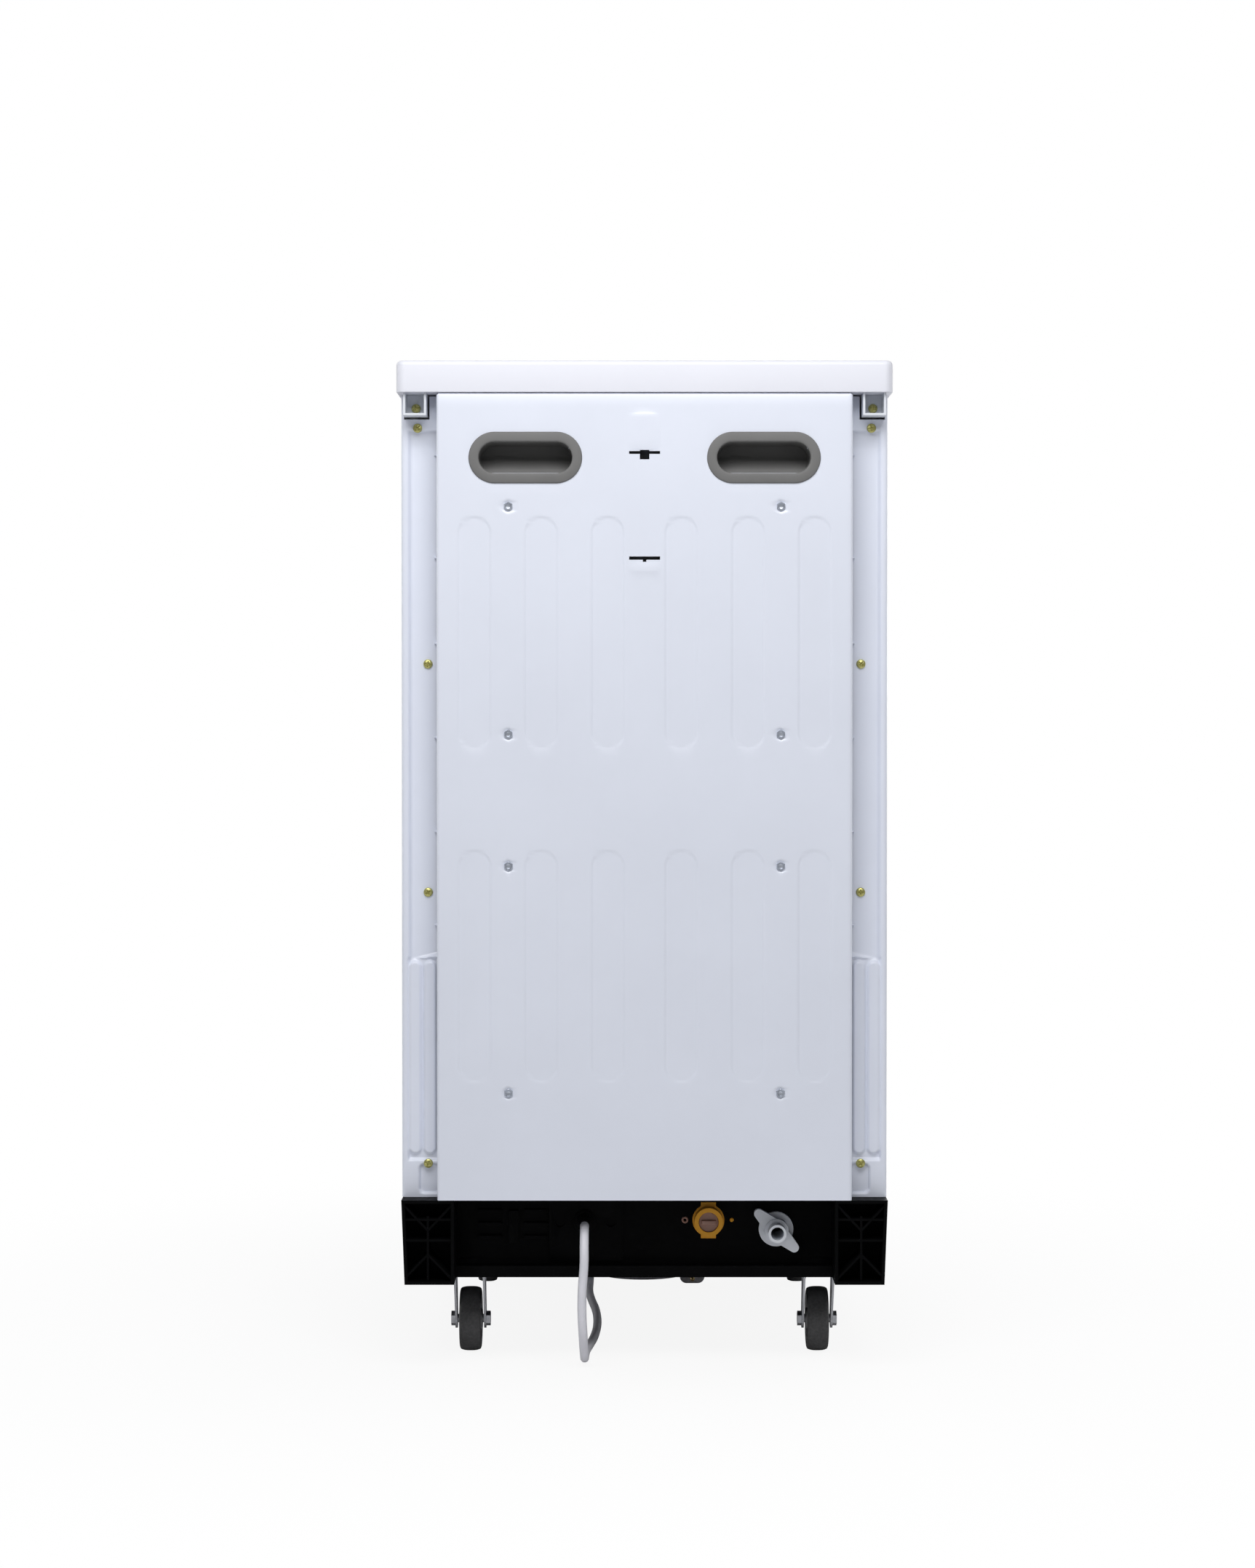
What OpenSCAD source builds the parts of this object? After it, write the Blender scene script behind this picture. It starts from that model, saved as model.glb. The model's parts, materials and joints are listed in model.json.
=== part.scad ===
// A slim portable dishwasher on casters, seen from behind in its reference view.
// Millimetres, +Z up. The origin is on the floor under the middle of the worktop,
// the door faces -Y and the steel rear panel faces +Y. The door is drawn open.

/* [Cabinet] */
// Width over the worktop
cab_w = 450; // [440:1:470]
// Depth over the worktop, front to back
cab_d = 600; // [590:1:630]
// Height of the worktop above the floor
cab_h = 920; // [900:1:950]
// How far the worktop stands out past each side panel
side_overhang = 3; // [2:0.5:5]
// Thickness of the pressed steel sheets
sheet = 1.2; // [0.8:0.1:1.4]
// Gap left between pieces that close on each other
seam = 1.5; // [1:0.1:2]

/* [Worktop] */
// Thickness of the worktop
top_t = 29; // [25:1:32]
// Radius of the worktop's corners and upper edge
top_r = 5; // [3:0.5:7]
// Width of each bracket under the worktop
bracket_w = 21; // [18:1:24]
// Depth of each bracket, front to back
bracket_d = 30; // [24:1:36]
// Drop of the brackets below the worktop
bracket_h = 20.5; // [16:0.5:24]
// Wall of the plastic brackets
bracket_wall = 2; // [1.5:0.1:2.5]

/* [Side panels] */
// Visible width of the side panels' rear flanges
flange_w = 34.6; // [32:0.2:38]
// How far the flanges lie in front of the rear panel's face
flange_back = 23; // [20:1:26]
// Depth of the pressings in the flanges
flange_step = 4; // [3:0.5:5]
// Width of the flat strip along each flange's outer edge
flange_strip = 8; // [6:0.5:10]
// Height at which the long pressed channel ends
channel_foot = 380; // [340:5:420]
// Width of the two upright ribs below the channel
flange_rib_w = 10; // [8:0.5:11]

/* [Rear panel] */
// Radius of the rear panel's upper corners
panel_r = 4; // [2:0.5:8]
// Width of the long pressed fields
field_w = 29.5; // [26:0.5:32]
// Length of the long pressed fields
field_h = 211; // [190:1:220]
// Depth of the pressed fields
field_depth = 0.5; // [0.3:0.1:0.6]
// Distance from the middle of the panel to the nearest fields
field_x = 33.3; // [28:0.1:36]
// Pitch of the fields across the panel
field_pitch = 60.5; // [56:0.5:62]
// Drop from the panel's top edge to the upper fields
field_drop = 111; // [108:1:118]
// Drop from the panel's top edge to the lower fields
field_drop_low = 413.5; // [408:1:420]
// Half the distance between the two columns of panel screws
panel_screw_x = 123.6; // [120:0.2:125]
// Diameter of the dimple round each panel screw
dimple_d = 12.5; // [11:0.5:14]
// Width of the two slots in the middle of the panel
slot_w = 28; // [24:1:32]
// Height of those slots
slot_h = 3; // [2:0.5:4]
// Drop from the panel's top edge to the upper slot
slot_drop = 53; // [50:1:58]
// Drop from the panel's top edge to the lower slot
slot_drop_low = 148.5; // [144:1:154]

/* [Grips] */
// Distance from the middle of the panel to each grip
grip_x = 108; // [100:1:114]
// Drop from the panel's top edge to the middle of the grips
grip_drop = 57.5; // [54:0.5:62]
// Width over each grip's rim
grip_w = 103; // [96:1:108]
// Height over each grip's rim
grip_h = 46.6; // [42:0.2:50]
// Width of the rim round the finger opening
grip_rim = 9.1; // [7:0.1:10]
// Depth of the finger pocket
grip_depth = 34; // [28:1:38]
// Wall of the grip moulding
grip_wall = 2; // [1.5:0.1:2.5]

/* [Base] */
// Height of the base's underside above the floor
base_z = 80; // [76:1:84]
// Height of the black base moulding
base_h = 77; // [74:1:80]
// Wall of the base moulding
base_wall = 3; // [2.5:0.1:4]
// Width of the open pillars at the rear corners
pillar_w = 48; // [44:1:52]
// Depth of the open cells in those pillars
pillar_cell = 34; // [28:1:38]
// Thickness of the ribs in the cells
pillar_rib = 2; // [1.5:0.1:2.5]
// How far the connection wall lies in front of the rear panel's face
recess = 55; // [50:1:60]

/* [Casters] */
// Distance from the worktop's sides to each caster's swivel
caster_in = 62; // [60:1:65]
// Swivel of the rear casters, measured in from the rear panel's face
caster_rear = 84; // [80:1:90]
// Swivel of the front casters, measured in from the worktop's front edge
caster_front = 132; // [130:1:140]
// Diameter of the caster wheels
wheel_d = 60; // [54:1:62]
// Width of the caster wheels
wheel_w = 22; // [18:1:24]
// Offset of the axle behind the swivel
caster_trail = 24; // [20:1:26]
// Diameter of the swivel's ball race
race_d = 46; // [42:1:48]
// Diameter of the wheel axles
axle_d = 8; // [6:0.5:9]
// Radial running clearance on axles and pins
run_fit = 0.05; // [0.02:0.01:0.08]

/* [Tub] */
// Gap between the washing tub and each side of the cabinet
tub_side = 18; // [17:1:22]
// Wall of the tub
tub_t = 1.5; // [1.2:0.1:2]
// Radius of the tub's edges
tub_r = 22; // [16:1:28]
// Gap between the tub and the worktop
tub_head = 22; // [18:1:30]
// Gap between the tub's back and the rear panel
tub_behind = 62; // [60:1:70]
// Thickness of the door seal on the tub
seal_t = 5.7; // [5:0.1:6.5]
// Width of the door seal
seal_w = 7; // [6:0.5:8]
// Diameter of the sump under the tub
sump_d = 124; // [110:1:130]
// Depth of the sump below the tub's floor
sump_h = 46; // [40:1:48]

/* [Racks] */
// Diameter of the racks' wires
wire_d = 4; // [3.5:0.1:4.5]
// Gap between each rack and the tub's sides
rack_side_gap = 20; // [18:1:24]
// Length of the racks, front to back
rack_l = 430; // [410:5:440]
// Height of the upper rack's floor above the tub's floor
upper_floor = 385; // [370:5:400]
// Depth of the upper rack
upper_h = 105; // [90:5:115]
// Height of the lower rack's floor above the tub's floor
lower_floor = 44; // [42:1:50]
// Depth of the lower rack
lower_h = 120; // [100:5:130]
// Number of hoops along each rack
rack_hoops = 10; // [8:1:11]
// Number of long wires across each rack
rack_longs = 7; // [5:2:9]
// Diameter of the lower rack's rollers
roller_d = 28; // [24:1:30]
// Diameter of the upper rack's rollers
small_roller_d = 16; // [14:0.5:18]
// Sweep of each spray arm, from its hub to its tip
arm_r = 158; // [140:1:162]
// Width of the spray arms
arm_w = 34; // [28:1:38]

/* [Door] */
// Thickness of the closed door
door_t = 58; // [54:1:60]
// Height of the door's hinge above the floor
hinge_z = 139; // [138:0.5:140]
// Distance of the hinge behind the door's front face
hinge_in = 50; // [48:0.5:52]
// How far the door's skirt hangs below the hinge
skirt = 22; // [18:1:24]
// Height of the control panel
fascia_h = 122; // [110:1:130]
// Diameter of the hinge pins
pin_d = 8; // [6:0.5:8]
// Thickness of the hinge plates
hinge_t = 5; // [4:0.5:6]
// Width of the handle pocket in the control panel
pocket_w = 150; // [130:5:170]
// Height of the handle pocket
pocket_h = 30; // [26:1:34]
// Depth of the handle pocket
pocket_d = 32; // [28:1:34]

/* [Controls] */
// Diameter of the power button
power_d = 18; // [14:1:20]
// Diameter of the other buttons
button_d = 12; // [10:1:14]
// Travel of the buttons
button_travel = 2; // [1.5:0.5:2.5]
// Radial gap round the buttons
button_gap = 0.3; // [0.3:0.05:0.5]
// Pitch of the small buttons
button_pitch = 34; // [28:1:38]
// Width of the display window
display_w = 64; // [54:1:70]
// Height of the display window
display_h = 24; // [20:1:28]

/* [Detergent dispenser] */
// Width of the dispenser
disp_w = 150; // [140:1:160]
// Height of the dispenser
disp_h = 92; // [84:1:100]
// Depth of the detergent cup
cup_depth = 26; // [22:1:28]
// Width of the detergent cup
cup_w = 62; // [56:1:66]
// Diameter of the rinse aid cap
rinse_d = 36; // [30:1:40]

/* [Connections] */
// Distance of the water inlet from the middle
inlet_x = 59.4; // [56:0.2:64]
// Outside diameter of the inlet's threaded spigot
inlet_d = 26.4; // [26:0.1:26.6]
// Distance of the drain outlet from the middle
drain_x = 122; // [116:1:126]
// Outside diameter of the drain nozzle
nozzle_d = 16.5; // [15:0.1:18]
// Bore of the drain nozzle
nozzle_bore = 12; // [10:0.1:12.5]
// How far the nozzle stands out of the connection wall
nozzle_l = 33; // [28:1:36]
// Span of the wing nut, from tip to tip
wing_span = 53; // [48:1:56]

/* [Power cord] */
// Diameter of the power cord
cord_d = 8.2; // [8.1:0.1:8.3]
// Outside diameter of the cord gland
gland_d = 16; // [15:0.5:18]

/* [Hidden] */
$fn = 48;
door_open = 90;             // the door is drawn open, on its stop
eps = 0.01;                 // cuts run past a face by this much
seat_gap = 0.3;             // between neighbours on different bodies

// Planes of the cabinet
rear_y = cab_d / 2 - 3;
front_y = -cab_d / 2;
flange_y = rear_y - flange_back;
wall_y = rear_y - recess;
body_w = cab_w - 2 * side_overhang;
top_z = cab_h - top_t;
body_top = top_z - seam;
base_top = base_z + base_h;
panel_w = body_w - 2 * flange_w;
panel_z0 = base_top + 0.2;
panel_z1 = body_top;
bracket_gap = 3;            // from each bracket to the side panel's face
caster_x = cab_w / 2 - caster_in;
tub_w = body_w - 2 * tub_side;
hinge_y = front_y + hinge_in;
door_back = front_y + door_t;
seal_y = door_back + seat_gap;
tub_front = seal_y + seal_t;
tub_back = rear_y - tub_behind;
tub_floor = hinge_z + (door_back - hinge_y) + 0.5;
tub_z0 = tub_floor - tub_t;
tub_z1 = top_z - tub_head;
base_front = hinge_y + skirt + 6;
side_front = door_back + 4;

// ---------------------------------------------------------------- shared forms

// A rectangle with true round corners, centred.
module rrect(w, h, r) {
    square([w - 2 * r, h], center = true);
    square([w, h - 2 * r], center = true);
    for (x = [-1, 1], y = [-1, 1]) translate([x * (w / 2 - r), y * (h / 2 - r)]) circle(r);
}

// A slot with round ends, centred, longer along its first or second side.
module obround(w, h) {
    r = min(w, h) / 2;
    if (w > h) square([w - h, h], center = true);
    else square([w, max(h - w, eps)], center = true);
    for (s = [-1, 1]) translate(w > h ? [s * (w / 2 - r), 0] : [0, s * (h / 2 - r)]) circle(r);
}

// Extrudes an X-Z profile from the plane y towards the front.
module slab_y(y, t) { translate([0, y, 0]) rotate([90, 0, 0]) linear_extrude(t) children(); }

// Extrudes a Y-Z profile from the plane x towards +X.
module slab_x(x, t) { translate([x, 0, 0]) rotate([90, 0, 90]) linear_extrude(t) children(); }

// A round bar along +Y that ends at the plane y.
module rod_y(r, y, l) { translate([0, y, 0]) rotate([90, 0, 0]) cylinder(r = r, h = l); }

// A round bar along +X from the plane x.
module rod_x(r, x, l) { translate([x, 0, 0]) rotate([0, 90, 0]) cylinder(r = r, h = l); }

// Both sides of the cabinet.
module both_sides() { children(); mirror([1, 0, 0]) children(); }

// Swings what is drawn on the closed door to the door's stored angle.
module on_door() {
    translate([0, hinge_y, hinge_z]) rotate([door_open, 0, 0])
        translate([0, -hinge_y, -hinge_z]) children();
}

// A straight wire between two points, eight-sided.
module wire(a, b, d = wire_d) {
    v = b - a;
    l = norm(v);
    translate(a) rotate([0, acos(v.z / l), atan2(v.y, v.x)]) cylinder(d = d, h = l, $fn = 8);
}

// ---------------------------------------------------------------- cabinet

module worktop() {
    color([0.95, 0.95, 0.97]) hull() for (x = [-1, 1], y = [-1, 1])
        translate([x * (cab_w / 2 - top_r), y * (cab_d / 2 - top_r), 0]) {
            translate([0, 0, top_z]) cylinder(r = top_r, h = 1, $fn = 32);
            translate([0, 0, cab_h - top_r]) sphere(r = top_r, $fn = 32);
        }
}

// Open-topped plastic pockets that screw the worktop to the flanges.
bracket_x = body_w / 2 - bracket_gap - bracket_w;
front_bracket_y = front_y + 75 + bracket_d;
rear_bracket_y = rear_y - 2;
module worktop_bracket(y_face) {
    z0 = top_z - bracket_h;
    difference() {
        translate([bracket_x, y_face - bracket_d, z0]) cube([bracket_w, bracket_d, bracket_h]);
        translate([bracket_x + bracket_wall, y_face - bracket_d + 6, z0 + bracket_wall])
            cube([bracket_w - 2 * bracket_wall, bracket_d, bracket_h]);
        translate([bracket_x + bracket_w / 2, 0, z0 + 8]) rod_y(2.1, y_face, bracket_d + eps);
    }
}
module worktop_brackets() {
    color([0.85, 0.87, 0.9]) both_sides() {
        worktop_bracket(rear_bracket_y);
        worktop_bracket(front_bracket_y);
    }
}

// One pressed side with its folded flanges; the other is its mirror image.
bracket_notch = bracket_h + seam;
module flange_profile() {
    x0 = panel_w / 2;
    x1 = body_w / 2;
    difference() {
        translate([x0, base_top]) square([x1 - x0, body_top - base_top]);
        translate([bracket_x - 1.5, top_z - bracket_notch]) square([bracket_w + 3, bracket_notch + eps]);
    }
}
module flange_pressings() {
    x0 = panel_w / 2 - 1;
    x1 = body_w / 2 - flange_strip;
    ribs_top = channel_foot - 7;
    ribs_foot = base_top + 40;
    // the long channel, with its slanting foot and rounded corner
    difference() {
        translate([x0, channel_foot]) square([x1 - x0, body_top - 32 - channel_foot]);
        polygon([[x0, channel_foot - 1], [x1, channel_foot - 1], [x1, channel_foot + 3], [x0, channel_foot - 4]]);
        translate([x1 - 5, channel_foot]) difference() {
            square([5 + eps, 8]);
            translate([0, 8]) circle(5);
        }
    }
    // the ground beside the two raised ribs
    difference() {
        translate([x0, ribs_foot - 6]) square([x1 - x0 + 2.5, ribs_top - ribs_foot + 10]);
        for (i = [0, 1]) translate([x1 + 1 - flange_rib_w / 2 - i * (flange_rib_w + 3.5), (ribs_top + ribs_foot) / 2])
            obround(flange_rib_w, ribs_top - ribs_foot);
    }
    // the small low field
    translate([(x0 + x1 - 8) / 2, base_top + 17]) rrect(x1 - x0 - 8, 26, 4);
}
module side_panel() {
    x1 = body_w / 2;
    fold = x1 - tub_w / 2 - tub_lip - 1;
    // the flat side, its front fold, and the folds at head and foot
    translate([x1 - sheet, side_front, base_top]) cube([sheet, flange_y - side_front, body_top - base_top]);
    translate([x1 - fold, side_front, base_top]) cube([fold, sheet, body_top - base_top]);
    difference() {
        for (z = [base_top, body_top - sheet]) translate([x1 - fold, side_front, z])
            cube([fold, flange_y - flange_step - sheet - side_front, sheet]);
        for (y = [front_bracket_y, rear_bracket_y]) translate([bracket_x - 1, y - bracket_d - 1, body_top - 5])
            cube([bracket_w + 2, bracket_d + 2, 6]);
    }
    // the pressed rear flange
    difference() {
        slab_y(flange_y, flange_step + sheet) flange_profile();
        slab_y(flange_y + eps, flange_step + eps) flange_pressings();
        for (p = flange_screw_places) translate([p.x, 0, p.y]) rod_y(1.8, flange_y + 1, flange_step + 4);
    }
    // lanced tabs along the rear panel's edge
    for (i = [0:5]) slab_y(flange_y - flange_step + 3.6, 3.6)
        translate([panel_w / 2 + 2.2, body_top - 53 - i * 86]) polygon([[-2, -2.5], [2.4, 0], [-2, 2.5]]);
}
module side_panel_left() { color([0.86, 0.88, 0.91]) mirror([1, 0, 0]) side_panel(); }
module side_panel_right() { color([0.86, 0.88, 0.91]) side_panel(); }

// Screw places on the flanges, as [x, height].
flange_screw_places = [
    [body_w / 2 - 15, body_top - 29], [body_w / 2 - 24, body_top - 244],
    [body_w / 2 - 24, channel_foot + 56.5], [body_w / 2 - 24, base_top + 31]
];

// The rear panel is a shallow pan whose sides reach back to the flanges.
panel_screw_drops = [101.6, 308.2, 428, 634.6];
module panel_outline() {
    h = panel_z1 - panel_z0;
    translate([0, panel_z0 + h / 2]) rrect(panel_w, h, panel_r);
    translate([-panel_w / 2, panel_z0]) square([panel_w, 2 * panel_r]);
}
module panel_fields() {
    for (s = [-1, 1], i = [0:2], drop = [field_drop, field_drop_low])
        translate([s * (field_x + i * field_pitch), panel_z1 - drop - field_h / 2]) obround(field_w, field_h);
}
module rear_panel() {
    pan = rear_y - flange_y - seat_gap;
    color([0.86, 0.87, 0.92]) difference() {
        union() {
            slab_y(rear_y, sheet) panel_outline();
            // folded sides and head
            for (s = [-1, 1]) translate([s * (panel_w / 2 - sheet / 2) - sheet / 2, rear_y - pan, panel_z0])
                cube([sheet, pan, panel_z1 - panel_z0 - panel_r]);
            translate([-panel_w / 2 + panel_r, rear_y - 10, panel_z1 - sheet]) cube([panel_w - 2 * panel_r, 10, sheet]);
            // metal gathered behind the dimples
            for (s = [-1, 1], d = panel_screw_drops) translate([s * panel_screw_x, 0, panel_z1 - d])
                rod_y(dimple_d / 2 + 1, rear_y - sheet / 2, 2);
            // raised field above the upper slot
            slab_y(rear_y + field_depth, field_depth + eps) translate([0, panel_z1 - slot_drop + 19]) rrect(22.6, 33, 3);
        }
        slab_y(rear_y + eps, field_depth) panel_fields();
        for (s = [-1, 1], d = panel_screw_drops) translate([s * panel_screw_x, rear_y, panel_z1 - d]) rotate([90, 0, 0]) {
            translate([0, 0, -eps]) cylinder(r1 = dimple_d / 2, r2 = dimple_d / 2 - 1.2, h = 1.4);
            cylinder(r = 2.1, h = 6);
        }
        for (s = [-1, 1]) slab_y(rear_y + 1, pan) translate([s * grip_x, panel_z1 - grip_drop])
            obround(grip_seat_w, grip_seat_h);
        // the two slots, each with a centre notch, and the pressed louvre under the lower one
        slab_y(rear_y + 1, 4) {
            translate([-slot_w / 2, panel_z1 - slot_drop - slot_h / 2]) square([slot_w, slot_h]);
            translate([-4.8, panel_z1 - slot_drop - slot_h / 2 - 5]) square([9.6, 5 + eps]);
            translate([-slot_w / 2, panel_z1 - slot_drop_low - slot_h / 2]) square([slot_w, slot_h]);
            translate([-1.6, panel_z1 - slot_drop_low - slot_h / 2 - 2]) square([3.2, 2 + eps]);
        }
        slab_y(rear_y + eps, field_depth) translate([0, panel_z1 - slot_drop_low - slot_h / 2 - 6.5]) rrect(27, 9, 3.5);
    }
}

// The finger grips: a rim with a pocket behind it, deeper at its head.
grip_open_w = grip_w - 2 * grip_rim;
grip_open_h = grip_h - 2 * grip_rim;
grip_seat_w = grip_open_w + 2 * grip_wall + 0.6;
grip_seat_h = grip_open_h + 2 * grip_wall + 0.6;
module grip() {
    z = panel_z1 - grip_drop;
    color([0.55, 0.55, 0.56]) difference() {
        union() {
            slab_y(rear_y + 3, 3 - eps) translate([0, z]) obround(grip_w, grip_h);
            slab_y(rear_y + 3, grip_depth + grip_wall) translate([0, z])
                obround(grip_open_w + 2 * grip_wall, grip_open_h + 2 * grip_wall);
        }
        slab_y(rear_y + 4, grip_depth - 9) translate([0, z]) obround(grip_open_w, grip_open_h);
        // the floor of the pocket climbs towards the back
        intersection() {
            slab_y(rear_y, grip_depth - 3) translate([0, z]) obround(grip_open_w, grip_open_h);
            slab_x(-grip_open_w / 2, grip_open_w) polygon([
                [rear_y + 1, z - grip_open_h / 2], [rear_y - 12, z - grip_open_h / 2],
                [rear_y - grip_depth + 3, z - 2], [rear_y - grip_depth + 3, z + grip_open_h / 2],
                [rear_y + 1, z + grip_open_h / 2]
            ]);
        }
        // snap notches at both ends
        for (s = [-1, 1]) translate([s * (grip_open_w / 2 + 1), rear_y + 2, z]) cube([3, 3, 7], center = true);
    }
}
module grip_left() { translate([-grip_x, 0, 0]) grip(); }
module grip_right() { translate([grip_x, 0, 0]) grip(); }

// A hexagon-headed screw whose head bears on the plane y.
module hex_screw(y, l) {
    rod_y(1.9, y + eps, l);
    translate([0, y + 3, 0]) rotate([90, 0, 0]) difference() {
        cylinder(r = 4.3, h = 3, $fn = 6);
        translate([0, 0, -eps]) cylinder(r = 2, h = 1.2, $fn = 6);
    }
}
module rear_panel_screws() {
    color([0.62, 0.65, 0.7]) for (s = [-1, 1], d = panel_screw_drops)
        translate([s * panel_screw_x, 0, panel_z1 - d]) hex_screw(rear_y - 1.4 + eps, 9);
}

// A pan-headed cross-slotted screw whose head bears on the plane y.
module pan_screw(y, r = 4.2, l = 8) {
    rod_y(1.7, y + eps, l);
    translate([0, y, 0]) rotate([-90, 0, 0]) difference() {
        rotate_extrude() polygon([[0, 0], [r, 0], [r, 0.8], [r * 0.8, 1.9], [r * 0.45, 2.5], [0, 2.6]]);
        for (a = [0, 90]) rotate([0, 0, a]) translate([0, 0, 2.6]) cube([r * 1.1, 1, 2], center = true);
    }
}
module body_screws() {
    color([0.75, 0.72, 0.35]) {
        both_sides() {
            translate([flange_screw_places[0].x, 0, flange_screw_places[0].y]) pan_screw(flange_y);
            for (i = [1, 2]) translate([flange_screw_places[i].x, 0, flange_screw_places[i].y])
                pan_screw(flange_y - flange_step);
            translate([flange_screw_places[3].x, 0, flange_screw_places[3].y]) pan_screw(flange_y);
            translate([bracket_x + bracket_w / 2, 0, top_z - bracket_h + 8]) pan_screw(rear_y - 2 - bracket_d + 6);
        }
        // the fasteners beside the inlet
        for (x = [inlet_x - 21.7, inlet_x + 21.6]) translate([-x, 0, inlet_z]) pan_screw(wall_y, 2.6, 2.7);
    }
}

// ---------------------------------------------------------------- base

taper = 2.9;                // the base draws in by this much towards the floor
inlet_z = base_z + 51;
drain_z = base_z + 43;
gland_x = 55;
gland_z = base_z + 50;
caster_pocket = race_d / 2 + 5;
plate_z = base_z + 13;      // underside of the caster plates
caster_places = [
    [-caster_x, front_y + caster_front], [caster_x, front_y + caster_front],
    [-caster_x, rear_y - caster_rear], [caster_x, rear_y - caster_rear]
];

module base_section(inset) {
    hw = body_w / 2 - 0.6 - inset;
    translate([0, base_z]) polygon([
        [-hw + taper, 0], [hw - taper, 0], [hw, base_h], [-hw, base_h]
    ]);
}
// Ribs of one open pillar cell: two Y shapes foot to foot, a centre post and two shelves.
module pillar_ribs(cx, w) {
    z0 = base_z + base_wall;
    z1 = base_top - base_wall;
    hi = base_z + 49;
    lo = base_z + 27;
    module bar(a, b) {
        v = b - a;
        translate(a) rotate(atan2(v.y, v.x)) translate([0, -pillar_rib / 2]) square([norm(v), pillar_rib]);
    }
    for (s = [-1, 1]) {
        bar([cx, hi], [cx + s * w / 2, z1]);
        bar([cx, lo], [cx + s * w / 2, z0]);
    }
    bar([cx, z0], [cx, z1 - 12]);
    for (z = [base_z + 40, base_z + 59]) bar([cx - w / 2, z], [cx + w / 2, z]);
}
module base() {
    hw = body_w / 2 - 0.6;
    px = hw - pillar_w;
    color([0.1, 0.1, 0.105]) difference() {
        union() {
            // outer walls, as a tapered ring
            difference() {
                slab_y(rear_y, rear_y - base_front) base_section(0);
                translate([0, 0, -eps]) slab_y(rear_y + eps, rear_y - base_front - base_wall) base_section(base_wall);
                translate([-hw, base_front + base_wall, base_top - eps]) cube([2 * hw, cab_d, 5]);
            }
            // floor and connection wall
            translate([-hw + taper, base_front, base_z]) cube([2 * (hw - taper), wall_y - base_front, base_wall]);
            translate([-px - 1, wall_y - base_wall, base_z]) cube([2 * px + 2, base_wall, base_h]);
            // ledge below the connections
            translate([-px - 1, wall_y - eps, base_z + 8]) cube([2 * px + 2, 14, 2.5]);
            translate([-px - 1, wall_y + 11.5 - eps, base_z]) cube([2 * px + 2, 2.5, 9]);
            // pillars at the rear corners
            both_sides() {
                translate([px, wall_y - base_wall, base_z]) cube([base_wall, recess + base_wall, base_h]);
                translate([px, rear_y - pillar_cell - base_wall, base_z]) cube([pillar_w - taper, base_wall, base_h]);
                translate([px, wall_y - base_wall, base_z]) cube([pillar_w - taper, recess + base_wall, base_wall]);
                translate([px, wall_y - base_wall, base_top - base_wall]) cube([pillar_w - 0.2, recess + base_wall, base_wall]);
                slab_y(rear_y - 2.5, pillar_cell - 1) intersection() {
                    base_section(1);
                    pillar_ribs(px + pillar_w / 2, pillar_w - 1);
                }
            }
            // caster pockets
            for (p = caster_places) translate([p.x, p.y, base_z])
                cylinder(r = caster_pocket + base_wall, h = plate_z - base_z + base_wall);
            // the toe panel under the door, with its grille ribs
            for (i = [0:3]) translate([-hw + 24, base_front - 3, base_z + 5 + i * 7])
                cube([2 * hw - 48, 3 + eps, 3.4]);
            // louvre ribs beside the cord
            for (i = [0:2], x = [px - 42, px - 84]) translate([x, wall_y - eps, base_z + 34 + i * 12]) cube([22, 4, 3]);
            translate([px - 57, wall_y - eps, base_z + 30]) cube([9, 5, 30]);
            // the flat plate that carries the gland
            translate([20, wall_y - eps, base_z + 14]) cube([68, 4, base_h - 17]);
        }
        for (p = caster_places) translate([p.x, p.y, base_z - 1])
            cylinder(r = caster_pocket, h = plate_z - base_z + 1);
        translate([0, sump_y, base_z - 1]) cylinder(r = sump_d / 2 - 14, h = base_wall + 2);
        // room for the tub
        translate([-tub_w / 2 - tub_lip, base_front - 4, tub_z0 - seat_gap])
            cube([tub_w + 2 * tub_lip, tub_back + seat_gap - base_front + 4, base_h]);
        // ways through the connection wall
        translate([gland_x, 0, gland_z]) rod_y(gland_d / 2 + 0.1, wall_y + 5, base_wall + 12);
        translate([-inlet_x, 0, inlet_z]) rod_y(inlet_d / 2 + 0.1, wall_y + 1, base_wall + 2);
        translate([-drain_x, 0, drain_z]) rod_y(nozzle_d / 2 + 0.1, wall_y + 1, base_wall + 2);
        for (x = [31, 78]) translate([x, 0, gland_z]) rod_y(5, wall_y + 5, 3);
        for (x = [inlet_x - 21.7, inlet_x + 21.6]) translate([-x, 0, inlet_z]) rod_y(1.8, wall_y + 1, base_wall + 2);
    }
}

// ---------------------------------------------------------------- casters

axle_z = wheel_d / 2;
king_d = 10;
race_h = 6.5;
plate_t = 3;
fork_top = plate_z - plate_t - race_h - seat_gap;
fork_t = 4;
fork_gap = 1.5;             // between the wheel and each cheek
cheek_t = 2;

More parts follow.
